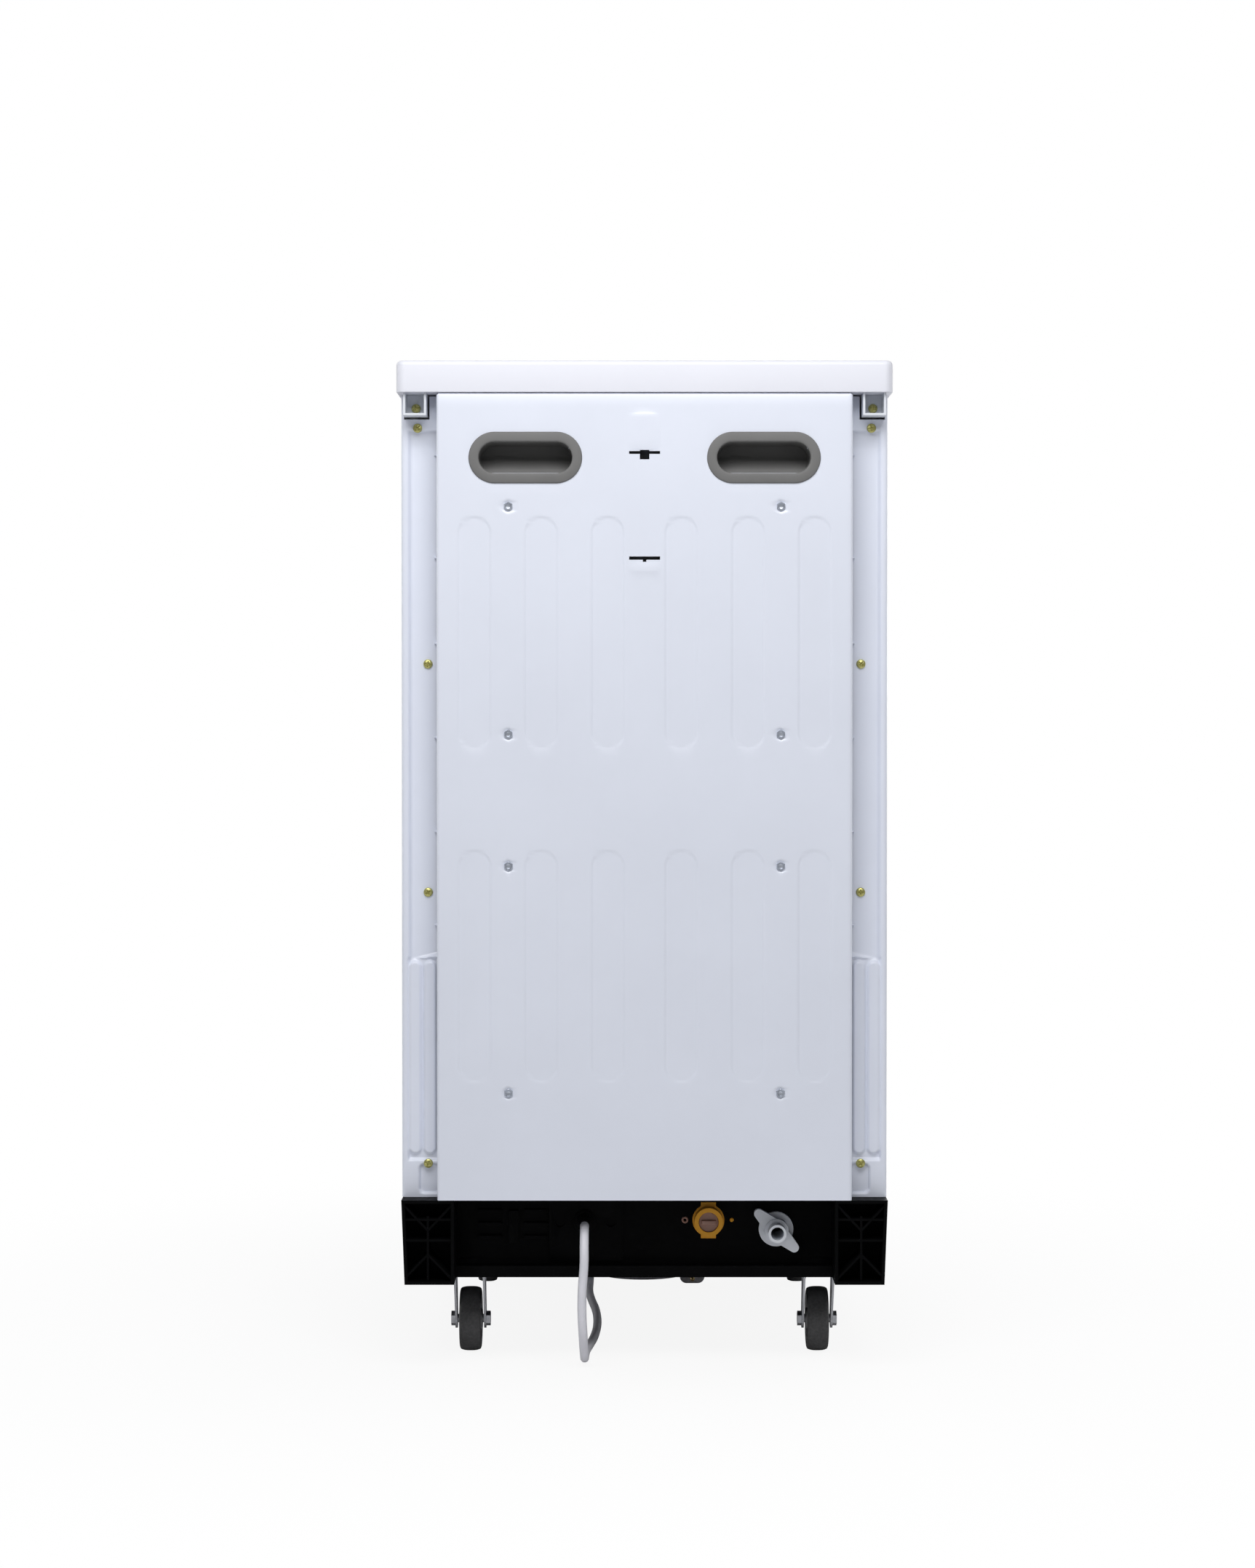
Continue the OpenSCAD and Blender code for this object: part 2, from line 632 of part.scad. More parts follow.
module caster_plates() {
    color([0.78, 0.79, 0.82]) for (p = caster_places) translate([p.x, p.y, 0]) {
        translate([0, 0, plate_z - plate_t]) cylinder(r = race_d / 2 + 3, h = plate_t);
        // the race, with its rolled rim
        translate([0, 0, plate_z - plate_t - race_h]) rotate_extrude()
            polygon([[0, 0], [race_d / 2 - 3, 0], [race_d / 2, 2.5], [race_d / 2, race_h], [0, race_h + eps]]);
        // the kingpin and its riveted head
        translate([0, 0, fork_top - fork_t - 4]) cylinder(d = king_d, h = race_h + fork_t + 4 + seat_gap);
        translate([0, 0, fork_top - fork_t - 4]) cylinder(d = king_d + 6, h = 4 - seat_gap);
    }
}
module caster_fork(i) {
    p = caster_places[i];
    cheek_x = wheel_w / 2 + fork_gap;
    color([0.75, 0.76, 0.79]) translate([p.x, p.y, 0]) {
        difference() {
            union() {
                translate([0, 0, fork_top - fork_t]) cylinder(r = race_d / 2 - 1, h = fork_t);
                for (x = [-cheek_x - cheek_t, cheek_x]) slab_x(x, cheek_t) {
                    polygon([[-17, fork_top - fork_t + eps], [15, fork_top - fork_t + eps],
                             [-caster_trail + 9, axle_z], [-caster_trail - 9, axle_z]]);
                    translate([-caster_trail, axle_z]) circle(9);
                }
            }
            translate([0, 0, fork_top - fork_t - 1]) cylinder(d = king_d + 2 * run_fit, h = fork_t + 2);
            translate([0, -caster_trail, axle_z]) rod_x(axle_d / 2 + run_fit, -cheek_x - 5, 2 * cheek_x + 10);
        }
        // the axle bolt, its head and its nut
        translate([0, -caster_trail, axle_z]) {
            rod_x(axle_d / 2, -cheek_x - cheek_t - 4, 2 * (cheek_x + cheek_t + 4));
            for (x = [-cheek_x - cheek_t - 4, cheek_x + cheek_t + run_fit]) translate([x, 0, 0])
                rotate([0, 90, 0]) cylinder(r = axle_d / 2 + 3, h = 4 - run_fit, $fn = 6);
        }
    }
}
module caster_wheel(i) {
    p = caster_places[i];
    r = wheel_d / 2;
    h = wheel_w / 2;
    color([0.2, 0.2, 0.21]) translate([p.x, p.y - caster_trail, axle_z]) rotate([0, 90, 0]) rotate_extrude()
        polygon([
            [axle_d / 2 + run_fit, -h], [axle_d / 2 + 5, -h], [axle_d / 2 + 6, -h + 5], [r - 9, -h + 5],
            [r - 8, -h + 1], [r - 3, -h + 1], [r - 0.8, -h + 4], [r, 0], [r - 0.8, h - 4], [r - 3, h - 1],
            [r - 8, h - 1], [r - 9, h - 5], [axle_d / 2 + 6, h - 5], [axle_d / 2 + 5, h], [axle_d / 2 + run_fit, h]
        ]);
}
module caster_fork_fl() { caster_fork(0); }
module caster_fork_fr() { caster_fork(1); }
module caster_fork_rl() { caster_fork(2); }
module caster_fork_rr() { caster_fork(3); }
module caster_wheel_fl() { caster_wheel(0); }
module caster_wheel_fr() { caster_wheel(1); }
module caster_wheel_rl() { caster_wheel(2); }
module caster_wheel_rr() { caster_wheel(3); }

// ---------------------------------------------------------------- connections

// The inlet valve: a box behind the wall and a threaded spigot through it.
module inlet_valve() {
    color([0.85, 0.56, 0.05]) translate([-inlet_x, 0, inlet_z]) difference() {
        union() {
            rod_y(inlet_d / 2, wall_y + 16, 16 + base_wall + 2);
            translate([0, wall_y - base_wall - 20, -6]) cube([44, 40, 36], center = true);
            // locating tabs above and below the spigot
            for (s = [-1, 1]) slab_y(wall_y + 3, 3 - eps) translate([0, s * (inlet_d / 2 + 0.5)]) square([14, 6], center = true);
            rod_y(inlet_d / 2 + 1.6, wall_y + 3, 3 - eps);
        }
        rod_y(inlet_d / 2 - 4, wall_y + 17, 19);
    }
}
// The dust cap in the inlet, with a bar to turn it by.
module inlet_cap() {
    color([0.55, 0.42, 0.36]) translate([-inlet_x, 0, inlet_z]) {
        rod_y(inlet_d / 2 - 4 - run_fit, wall_y + 14, 9);
        translate([0, wall_y + 15.5, 0]) cube([13, 3, 3.4], center = true);
    }
}

nut_l = 12;
nozzle_neck = 0.25;
// The drain elbow's flange and nozzle, with the neck that its wing nut turns on.
module drain_outlet() {
    color([0.72, 0.73, 0.74]) translate([-drain_x, 0, drain_z]) difference() {
        union() {
            // the neck, under the nut, is a little slimmer than the nozzle's free end
            rod_y(nozzle_d / 2 - nozzle_neck, wall_y + nozzle_l - 1, nozzle_l + 19);
            rod_y(nozzle_d / 2, wall_y + nozzle_l, nozzle_l - 4 - nut_l - 2 * seat_gap);
            rod_y(16, wall_y + 4, 4 - eps);
            rod_y(12, wall_y - base_wall, 12);
        }
        rod_y(nozzle_bore / 2, wall_y + nozzle_l + 1, nozzle_l + 25);
    }
}
module drain_wing_nut() {
    y0 = wall_y + 4 + seat_gap;
    tip_r = 4;
    color([0.8, 0.81, 0.82]) translate([-drain_x, 0, drain_z]) difference() {
        union() {
            rod_y(11, y0 + nut_l, nut_l);
            for (a = [135, 315]) translate([0, y0 + 10, 0]) rotate([90, 0, 0]) rotate([0, 0, -a]) linear_extrude(7) {
                polygon([[0, -9], [wing_span / 2 - tip_r, -tip_r - 1], [wing_span / 2 - tip_r, tip_r], [0, 10]]);
                translate([wing_span / 2 - tip_r, -0.5]) circle(tip_r + 0.4);
            }
        }
        rod_y(nozzle_d / 2 - nozzle_neck + run_fit, y0 + nut_l + 1, nut_l + 2);
    }
}

// ---------------------------------------------------------------- power cord

// The gland and its tapered strain relief.
gland_l = 12;
module cord_gland() {
    y = wall_y + 4;
    color([0.12, 0.12, 0.125]) translate([gland_x, 0, gland_z]) difference() {
        union() {
            rod_y(gland_d / 2, y + 2, 2 + 4 + base_wall);
            rod_y(gland_d / 2 + 3, y + 2, 2 - eps);
            translate([0, y + 2, 0]) rotate([-90, 0, 0]) cylinder(r1 = gland_d / 2 - 1, r2 = cord_d / 2 + 1.2, h = gland_l - 2);
        }
        rod_y(cord_d / 2 + 0.02, y + gland_l + 1, gland_l + 8 + base_wall);
    }
}

// The free stretch, from the gland down to the floor and forward under the machine.
cord_z = 5.1;               // height of the cord's middle where it lies on the floor
cord_route = [
    [55, 258, 130], [55, 266, 129.4], [55, 274, 127], [55, 281, 122.6], [55, 286.6, 116.6], [55, 290.6, 109.2],
    [55, 292.6, 101], [55.5, 293, 91], [56.5, 293, 79], [57, 293, 66], [57, 293, 54], [56.6, 292.4, 43],
    [56, 289.8, 32.4], [55.6, 284.8, 22.6], [55.2, 277.4, 14.4], [55, 268.2, 8.6], [55, 258, 5.6], [55, 247, 5.1],
    [54, 220, 5.1], [51, 190, 5.1], [48, 160, 5.1], [46, 128, 5.1], [45, 96, 5.1], [45, 64, 5.1], [46, 30, 5.1],
    [48, -4, 5.1], [51, -38, 5.1], [53.6, -74, 5.1], [55, -110, 5.1], [55, -150, 5.1], [55, -190, 5.1], [55, -231.8, 5.1]
];
cord_sides = 8;

function unit(v) = v / norm(v);
function heading(path, i) = unit(path[min(i + 1, len(path) - 1)] - path[max(i - 1, 0)]);
// The rings of a tube along a path; side is a direction the path never runs along.
function rings(path, r, n, side) = [
    for (i = [0:len(path) - 1])
        let (t = i == 0 || i == len(path) - 1 ? end_heading(path, i) : heading(path, i),
             u = unit(cross(t, side)), w = cross(u, t))
        for (k = [0:n - 1]) path[i] + r * (u * cos(360 * k / n) + w * sin(360 * k / n))
];
function end_heading(path, i) = i == 0 ? unit(path[1] - path[0]) : unit(path[i] - path[i - 1]);
module tube(path, d, n, side) {
    m = len(path);
    faces = concat(
        [for (i = [0:m - 2], k = [0:n - 1]) let (a = i * n + k, b = i * n + (k + 1) % n) each [[a, b, b + n], [a, b + n, a + n]]],
        [for (k = [1:n - 2]) each [[0, k + 1, k], [(m - 1) * n, (m - 1) * n + k, (m - 1) * n + k + 1]]]
    );
    polyhedron(rings(path, d / 2, n, side), faces);
}
module power_cord() {
    color([0.85, 0.86, 0.87]) tube(cord_route, cord_d, cord_sides, [1, 0, 0]);
}

// The rest of the cord: two layers of loops, in along the floor, up one layer, and out again.
coil_loops = 2;             // loops in each layer
coil_step = cord_d + 0.6;   // pitch of the loops and of the layers
coil_mean = 45;
coil_out = coil_mean + coil_loops * coil_step / 2;
coil_in = coil_mean - coil_loops * coil_step / 2;
coil_x = 55 - coil_out;
coil_y = -240;
coil_tail = 28;             // the straight end that runs to the plug
coil_rings = 24;            // rings in each loop
coil_turns_all = 2 * coil_loops + 0.5;
function coil_radius(turn) =
    turn <= coil_loops + 0.25 ? coil_out - coil_step * turn :
    turn <= coil_loops + 0.5 ? coil_in - coil_step * (coil_loops + 0.5 - turn) :
    coil_in + coil_step * (turn - coil_loops - 0.5);
function coil_level(turn) = cord_z + coil_step * min(1, max(0, (turn - coil_loops) / 0.5));
coil_path = concat(
    [[coil_x + coil_out, coil_y + cord_d, cord_z]],
    [for (i = [0:coil_rings * coil_turns_all]) let (turn = i / coil_rings, a = -360 * turn)
        [coil_x + coil_radius(turn) * cos(a), coil_y + coil_radius(turn) * sin(a), coil_level(turn)]],
    [[coil_x - coil_out, coil_y + coil_tail, cord_z + coil_step]]
);
coil_gap = min([for (i = [0:len(coil_path) - 1], k = [i + 12:1:len(coil_path) - 1]) norm(coil_path[i] - coil_path[k])]) - cord_d;
echo("least gap from the coiled cord to itself, in mm", coil_gap);
echo("lengths of the free stretch and of the coil, in mm",
    path_length(cord_route), path_length(coil_path));
function path_length(p) = [for (i = [1:len(p) - 1]) norm(p[i] - p[i - 1])] * [for (i = [1:len(p) - 1]) 1];
module cord_coil() {
    color([0.85, 0.86, 0.87]) tube(coil_path, cord_d, 6, [0, 0, 1]);
}
// A flat strap round the coil's turns, on the side away from the plug.
module cord_tie() {
    w = 2 * coil_loops * coil_step / 2 + cord_d + 1;
    h = coil_step + cord_d + 1;
    z0 = 0.1;
    t = 0.6;
    color([0.15, 0.15, 0.155]) translate([coil_x, coil_y - coil_mean + coil_step / 4, z0]) slab_x(-4, 8) difference() {
        translate([0, h / 2 + t]) square([w + 2 * t, h + 2 * t - 0.4], center = true);
        translate([0, h / 2 + t]) square([w, h - 0.4], center = true);
    }
}
// The moulded plug, lying beside the coil.
module power_plug() {
    x = coil_x - coil_out;
    y = coil_y + coil_tail;
    z = cord_z + coil_step;
    color([0.85, 0.86, 0.87]) translate([x, y, z]) difference() {
        rotate([-90, 0, 0]) {
            cylinder(r1 = cord_d / 2 + 1, r2 = 8, h = 16);
            translate([0, 0, 16 - eps]) linear_extrude(22) rrect(26, 2 * z - 0.6, 7);
        }
    }
    color([0.8, 0.75, 0.5]) translate([x, y + 38, z]) {
        for (s = [-1, 1]) translate([s * 6.4, 8.5, 3]) cube([1.5, 17 + eps, 6.3], center = true);
        translate([0, 0, -6]) rotate([-90, 0, 0]) translate([0, 0, -eps]) cylinder(d = 4.8, h = 20);
    }
}

// ---------------------------------------------------------------- tub and works

sump_y = -20;
tub_in = tub_w / 2 - tub_t;
tub_lip = 9;                // width of the flange round the tub's mouth
tongue_z = tub_z1 + tub_lip + 3.5;
module tub_ring(grow) {
    translate([0, (tub_z0 + tub_z1) / 2]) rrect(tub_w + 2 * grow, tub_z1 - tub_z0 + 2 * grow, tub_r + grow);
}
module tub() {
    color([0.75, 0.76, 0.78]) difference() {
        union() {
            slab_y(tub_back, tub_back - tub_front) tub_ring(0);
            slab_y(tub_front + tub_t, tub_t) tub_ring(tub_lip);
            // the keeper that the door's tongue enters
            translate([-14, tub_front, tub_z1 + tub_lip - eps]) cube([28, tub_t, 10]);
        }
        slab_y(tub_back - tub_t, cab_d) tub_ring(-tub_t);
        translate([0, sump_y, tub_z0 - 1]) cylinder(r = sump_d / 2 - 10, h = tub_t + 2);
        translate([-11, tub_front - 1, tongue_z - 1.5]) cube([22, tub_t + 2, 5.5]);
    }
    // straps that tie the tub's head to the worktop
    color([0.75, 0.76, 0.78]) for (x = [-120, 120], y = [tub_front + 30, tub_back - 40])
        translate([x - 10, y, tub_z1 - eps]) cube([20, 2, top_z - tub_z1]);
    // feet that carry the tub on the base
    color([0.75, 0.76, 0.78]) for (s = [-1, 1], y = [-150, 80])
        translate([s * 100 - 6, y, base_z + base_wall]) cube([12, 12, tub_z0 - base_z - base_wall + eps]);
}
module tub_gasket() {
    color([0.22, 0.22, 0.23]) slab_y(tub_front, seal_t) difference() {
        tub_ring(1.5 + seal_w - 1);
        tub_ring(-0.5);
    }
}
module sump() {
    z0 = tub_z0 - sump_h;
    r = sump_d / 2;
    color([0.3, 0.31, 0.32]) translate([0, sump_y, 0]) difference() {
        union() {
            translate([0, 0, z0]) cylinder(r = r - 7, h = sump_h);
            translate([0, 0, tub_z0 - 3]) cylinder(r = r + 6, h = 3);
            rotate([0, 90, 0]) translate([-(z0 + 14), 0, r - 12]) cylinder(r = 9, h = 18);
        }
        translate([0, 0, z0 + 3]) cylinder(r = r - 16, h = sump_h);
        translate([0, 0, tub_z0 - 3]) cylinder(r = r - 10, h = 4);
    }
    // the riser that carries the lower spray arm
    color([0.3, 0.31, 0.32]) translate([0, sump_y, z0 + 3 - eps]) difference() {
        cylinder(r = 11, h = arm_z - z0 - 3 - 2);
        translate([0, 0, 4]) cylinder(r = 8, h = 200);
    }
    color([0.3, 0.31, 0.32]) translate([0, sump_y, arm_z - 3]) difference() {
        cylinder(r = 9, h = 15);
        translate([0, 0, -1]) cylinder(r = 6.5, h = 20);
    }
}
module sump_filter() {
    r = sump_d / 2 - 10.3;
    color([0.6, 0.61, 0.62]) translate([0, sump_y, 0]) difference() {
        union() {
            translate([0, 0, tub_z0 - 3]) cylinder(r = r, h = 3);
            translate([0, 0, tub_z0 - 26]) cylinder(r = 32, h = 26);
            for (a = [0:45:315]) rotate(a) translate([18, -1.5, tub_z0 - eps]) cube([r - 22, 3, 1.5]);
        }
        translate([0, 0, tub_z0 - 24]) cylinder(r = 30, h = 21.5);
        translate([0, 0, tub_z0 - 30]) cylinder(r = 11.4, h = 50);
        for (a = [0:30:330]) rotate(a) translate([24, 0, tub_z0 - 5]) cylinder(r = 3, h = 10, $fn = 6);
    }
}
module heater() {
    ring_r = 128;
    ring_z = tub_floor + 8.5;
    color([0.35, 0.34, 0.33]) translate([0, sump_y, 0]) {
        translate([0, 0, ring_z]) rotate_extrude() translate([ring_r, 0]) circle(3.2);
        // the cold ends and the clips stand on the tub's floor
        for (a = [84, 96, 210, 330]) rotate(a) translate([ring_r, 0, tub_floor]) cylinder(r = 3, h = 8.5);
    }
}
module motor(x0, y, z, r, l, end_r) {
    translate([0, y, z]) {
        rod_x(r, x0, l);
        rod_x(r + 3, x0 + 6, 5);
        rod_x(end_r, x0 - 8, 9);
    }
    translate([x0 + 8, y - 14, base_z + base_wall]) cube([l - 24, 28, z - base_z - base_wall - r + 4]);
}
module circulation_pump() {
    x0 = sump_d / 2 + 6 + 0.3 + 8;
    color([0.28, 0.29, 0.3]) motor(x0, sump_y, tub_z0 - sump_h + 14, 24, 84, 14);
}
module drain_pump() {
    x0 = sump_d / 2 - 7 + 8;
    color([0.25, 0.4, 0.36]) mirror([1, 0, 0]) motor(x0, sump_y, tub_z0 - sump_h + 14, 18, 54, 9);
}
weight_w = tub_w - 128;
module counterweight() {
    color([0.45, 0.45, 0.44]) difference() {
        translate([-weight_w / 2, tub_back - 115, base_z + base_wall]) cube([weight_w, 56, tub_z0 - base_z - base_wall - 6]);
        for (x = [30 - weight_w / 2, weight_w / 2 - 30]) translate([x, tub_back - 87, base_z]) cylinder(r = 5, h = 100);
    }
}

// ---------------------------------------------------------------- racks and spray arms

rack_hw = tub_in - rack_side_gap;
rack_y1 = tub_back - tub_t - 12;
rack_y0 = rack_y1 - rack_l;
lower_z = tub_floor + lower_floor;
upper_z = tub_floor + upper_floor;
arm_z = tub_floor + 20.5;   // underside of the lower spray arm
arm_t = 10;
hoop_pitch = rack_l / (rack_hoops - 1);
function hoop_y(i) = rack_y0 + i * hoop_pitch;
function long_x(i) = -rack_hw + (i + 1) * 2 * rack_hw / (rack_longs + 1);

// One welded wire basket whose floor wires lie at z0.
module rack_frame(z0, h, rail) {
    lift = wire_d - 0.6;
    for (i = [0:rack_hoops - 1]) let (y = hoop_y(i)) {
        wire([-rack_hw, y, z0], [rack_hw, y, z0]);
        for (s = [-1, 1]) wire([s * rack_hw, y, z0 - wire_d / 2], [s * rack_hw, y, z0 + h]);
    }
    for (i = [0:rack_longs - 1]) let (x = long_x(i)) {
        wire([x, rack_y0, z0 + lift], [x, rack_y1, z0 + lift]);
        for (y = [rack_y0, rack_y1]) wire([x, y, z0 + lift], [x, y, z0 + h]);
    }
    for (z = [z0 + rail, z0 + h]) {
        for (s = [-1, 1]) wire([s * rack_hw, rack_y0 - wire_d / 2, z], [s * rack_hw, rack_y1 + wire_d / 2, z]);
        for (y = [rack_y0, rack_y1]) wire([-rack_hw, y, z], [rack_hw, y, z]);
    }
}
// Rows of leaning tines that hold the dishes.
module tines(xs, i0, i1, z0, h, lean) {
    for (x = xs, i = [i0:i1]) wire([x, hoop_y(i), z0], [x + lean, hoop_y(i), z0 + h], wire_d - 0.8);
}
tine_pitch = 60;            // between the rows that hold plates
module lower_rack() {
    color([0.5, 0.52, 0.55]) {
        rack_frame(lower_z, lower_h, lower_h * 0.5);
        tines([for (i = [-2:2]) 8 + i * tine_pitch], 3, rack_hoops - 2, lower_z, 62, 9);
    }
}
module lower_rack_rollers() {
    x0 = rack_hw - 18;
    color([0.35, 0.36, 0.38]) both_sides() for (i = [1, rack_hoops - 2])
        translate([0, hoop_y(i), tub_floor + roller_d / 2 + seat_gap]) {
            difference() {
                rod_x(roller_d / 2, x0, 10);
                rod_x(3 + run_fit, x0 - 1, 12);
                rod_x(roller_d / 2 - 4, x0 - 1, 2.5);
            }
            // axle and carrier plate up to the rack's floor
            rod_x(3, x0, 12);
            rod_x(5, x0 - 1.5, 1.5 - run_fit);
            slab_x(x0 + 10.4, 3) {
                circle(7);
                translate([-7, 0]) square([14, lower_floor - roller_d / 2 - seat_gap - wire_d / 2 - 0.1]);
            }
        }
}
basket_x = rack_hw - 30.5;             // half the width of the cutlery basket, over its walls
basket_d = 74;
basket_h = 112;
// Floor, walls and dividers are moulded panels that clip together along their edges.
module cutlery_basket() {
    z0 = lower_z + 2 * wire_d - 0.6 - wire_d / 2 + 0.2;
    y0 = rack_y0 + wire_d;
    wall = 2;
    clip = 0.05;
    base = wall + clip;
    cells = 6;
    pitch = (2 * basket_x - wall) / cells;
    color([0.42, 0.44, 0.47]) translate([-basket_x, y0, z0]) {
        // floor, with three windows under each cell
        difference() {
            cube([2 * basket_x, basket_d, wall]);
            for (i = [0:cells - 1], k = [0:2]) translate([wall + i * pitch + 6, 8 + k * 21, -1])
                cube([pitch - wall - 12, 14, wall + 2]);
        }
        // long walls, with three rows of windows
        for (y = [0, basket_d - wall]) difference() {
            translate([0, y, base]) cube([2 * basket_x, wall, basket_h - base]);
            for (i = [0:cells - 1], k = [0:2]) translate([wall + i * pitch + 6, y - 1, 12 + k * 32])
                cube([pitch - wall - 12, wall + 2, 22]);
        }
        // end walls and dividers
        for (i = [0:cells]) translate([i * pitch, base, base])
            cube([wall, basket_d - 2 * base, basket_h - base]);
        // carrying handle on two of the dividers
        for (i = [2, 4]) translate([i * pitch, basket_d / 2 - 3, basket_h + clip]) cube([wall, 6, 20 - clip]);
        translate([2 * pitch, basket_d / 2 - 3, basket_h + 20 + clip]) cube([2 * pitch + wall, 6, 6 - clip]);
    }
}

// A two-winged spray arm whose underside lies at z; jets are drilled in its upper face.
module spray_arm(y, z, bore) {
    translate([0, y, z]) difference() {
        union() {
            linear_extrude(arm_t) obround(2 * arm_r, arm_w);
            translate([0, 0, arm_t - 1]) linear_extrude(3) obround(2 * arm_r - 30, arm_w - 14);
            translate([0, 0, -1.7]) cylinder(r = bore + 8, h = arm_t + 5);
        }
        translate([0, 0, -2]) cylinder(r = bore, h = arm_t + 10);
        for (s = [-1, 1], i = [0:4]) translate([s * (36 + i * 25), s * (i - 2) * 2, arm_t - 2])
            cylinder(r = 1.6, h = 8, $fn = 8);
    }
}
module lower_spray_arm() { color([0.5, 0.52, 0.54]) spray_arm(sump_y, arm_z, 9 + run_fit); }
manifold_z = upper_z - wire_d / 2 - 8.3;
upper_arm_z = manifold_z - 8 - 6 - arm_t;
upper_arm_y = rack_y0 + rack_l / 2 - 4;
module upper_spray_arm() { color([0.5, 0.52, 0.54]) spray_arm(upper_arm_y, upper_arm_z, 8 + run_fit); }

// The upper rack's water pipe: it butts on the fixed feed and carries the upper arm.
module rack_manifold() {
    color([0.45, 0.47, 0.5]) {
        difference() {
            union() {
                rod_y_to(8, upper_arm_y - 10, rack_y1 + 4, manifold_z);
                translate([0, upper_arm_y, upper_arm_z - 3.4]) cylinder(r = 8, h = manifold_z - upper_arm_z + 3.4);
                // clips up to the rack's floor wires
                for (i = [4, rack_hoops - 2]) translate([-5, hoop_y(i) - 4, manifold_z + 6])
                    cube([10, 8, upper_z - wire_d / 2 - 0.1 - manifold_z - 6]);
            }
            rod_y_to(6, upper_arm_y, rack_y1 + 5, manifold_z);
        }
        // the nut that keeps the arm on
        translate([0, upper_arm_y, upper_arm_z - 8]) cylinder(r = 12, h = 5);
    }
}
module rod_y_to(r, y0, y1, z) { translate([0, 0, z]) rod_y(r, y1, y1 - y0); }

// The flat pipe up the tub's back wall, with the mouth that the manifold meets.
module feed_pipe() {
    y1 = tub_back - tub_t;
    color([0.45, 0.47, 0.5]) difference() {
        union() {
            translate([-17, y1 - 7, tub_floor]) cube([34, 7, manifold_z - tub_floor + 16]);
            rod_y_to(12, rack_y1 + 4 + seat_gap, y1 - 6, manifold_z);
        }
        rod_y_to(7, rack_y1, y1 - 3, manifold_z);
        translate([-14, y1 - 5, tub_floor + 10]) cube([28, 3, manifold_z - tub_floor]);
    }
}

// Channel rails on the tub's sides for the upper rack's rollers.
rail_z = upper_z + upper_h * 0.5;
rail_in = rack_hw + 4.5;
module rack_rails() {
    r = small_roller_d / 2 + seat_gap;
    t = 1.5;
    color([0.7, 0.71, 0.73]) both_sides() translate([0, 0, rail_z]) difference() {
        slab_y_at(tub_back - tub_t - 6, tub_front + 3) translate([rail_in, -r - t]) square([tub_in - rail_in, 2 * (r + t)]);
        slab_y_at(tub_back - tub_t - 6 - t, tub_front) translate([rail_in - 1, -r]) square([tub_in - rail_in + 1 - t, 2 * r]);
    }
}
module slab_y_at(y1, y0) { slab_y(y1, y1 - y0) children(); }
module upper_rack() {
    color([0.5, 0.52, 0.55]) {
        rack_frame(upper_z, upper_h, upper_h * 0.5);
        tines([-rack_hw + 32.5, -rack_hw + 86.5, rack_hw - 94.5, rack_hw - 40.5], 1, rack_hoops - 2, upper_z, 46, 8);
    }
}
module upper_rack_rollers() {
    color([0.88, 0.88, 0.87]) both_sides() for (y = [rack_y0 + 24, rack_y1 - 62, rack_y1 - 14]) translate([0, y, rail_z]) {
        rod_x(small_roller_d / 2, rail_in + 1, tub_in - rail_in - 4);
        rod_x(3, rack_hw + wire_d / 2 + 0.1, rail_in - rack_hw);
        rod_x(5.5, rack_hw + wire_d / 2 + 0.1, 1.5);
    }
}

// ---------------------------------------------------------------- door

fascia_z1 = body_top - seam;
fascia_z0 = fascia_z1 - fascia_h;
skin_z0 = hinge_z - skirt;
skin_z1 = fascia_z0 - seam;
door_hw = body_w / 2;
arm_x = door_hw - 22.5;     // inner face of the hinge plates on the door
bracket_in = arm_x + hinge_t + 0.6;
liner_hw = tub_w / 2 + 10;
press_h = 0.8;              // height of the liner's pressed field, below the rollers' path
press_w = 2 * liner_hw - 125;

// The plan of a door shell: square at the back, rounded along its front edges.
module door_plan(inset) {
    r = 4 - inset;
    difference() {
        translate([-door_hw + inset, front_y + inset]) square([2 * (door_hw - inset), door_t - 4 - inset]);
        for (s = [-1, 1]) translate([s * (door_hw - inset), front_y + inset]) difference() {
            square(2 * r, center = true);
            translate([-s * r, r]) circle(r);
        }
    }
}
// The space inside such a shell, with lips that turn in to the liner's sides.
module door_hollow(wall) {
    intersection() {
        door_plan(wall);
        translate([-cab_w, front_y]) square([2 * cab_w, door_t - 4 - wall]);
    }
    translate([-liner_hw - 0.4, front_y + 20]) square([2 * liner_hw + 0.8, door_t]);
}
module door_outer() {
    color([0.93, 0.94, 0.96]) on_door() difference() {
        translate([0, 0, skin_z0]) linear_extrude(skin_z1 - skin_z0) door_plan(0);
        translate([0, 0, skin_z0 + sheet]) linear_extrude(skin_z1 - skin_z0 - 2 * sheet)
            door_hollow(sheet);
        // the folds at head and foot stop short of the back
        translate([-liner_hw - 0.4, door_back - 26.5, skin_z0 - 1]) cube([2 * liner_hw + 0.8, door_t, cab_h]);
        // the skirt is shallow, to clear the sill when the door lies open
        translate([-door_hw - 1, hinge_y - 16, skin_z0 - 1]) cube([2 * door_hw + 2, door_t, skirt - 4]);
    }
}
disp_z = (tub_z0 + tub_z1) / 2 - 38.5;     // middle of the dispenser
cup_x = -disp_w / 2 + 9 + cup_w / 2;
cup_h = disp_h - 30;
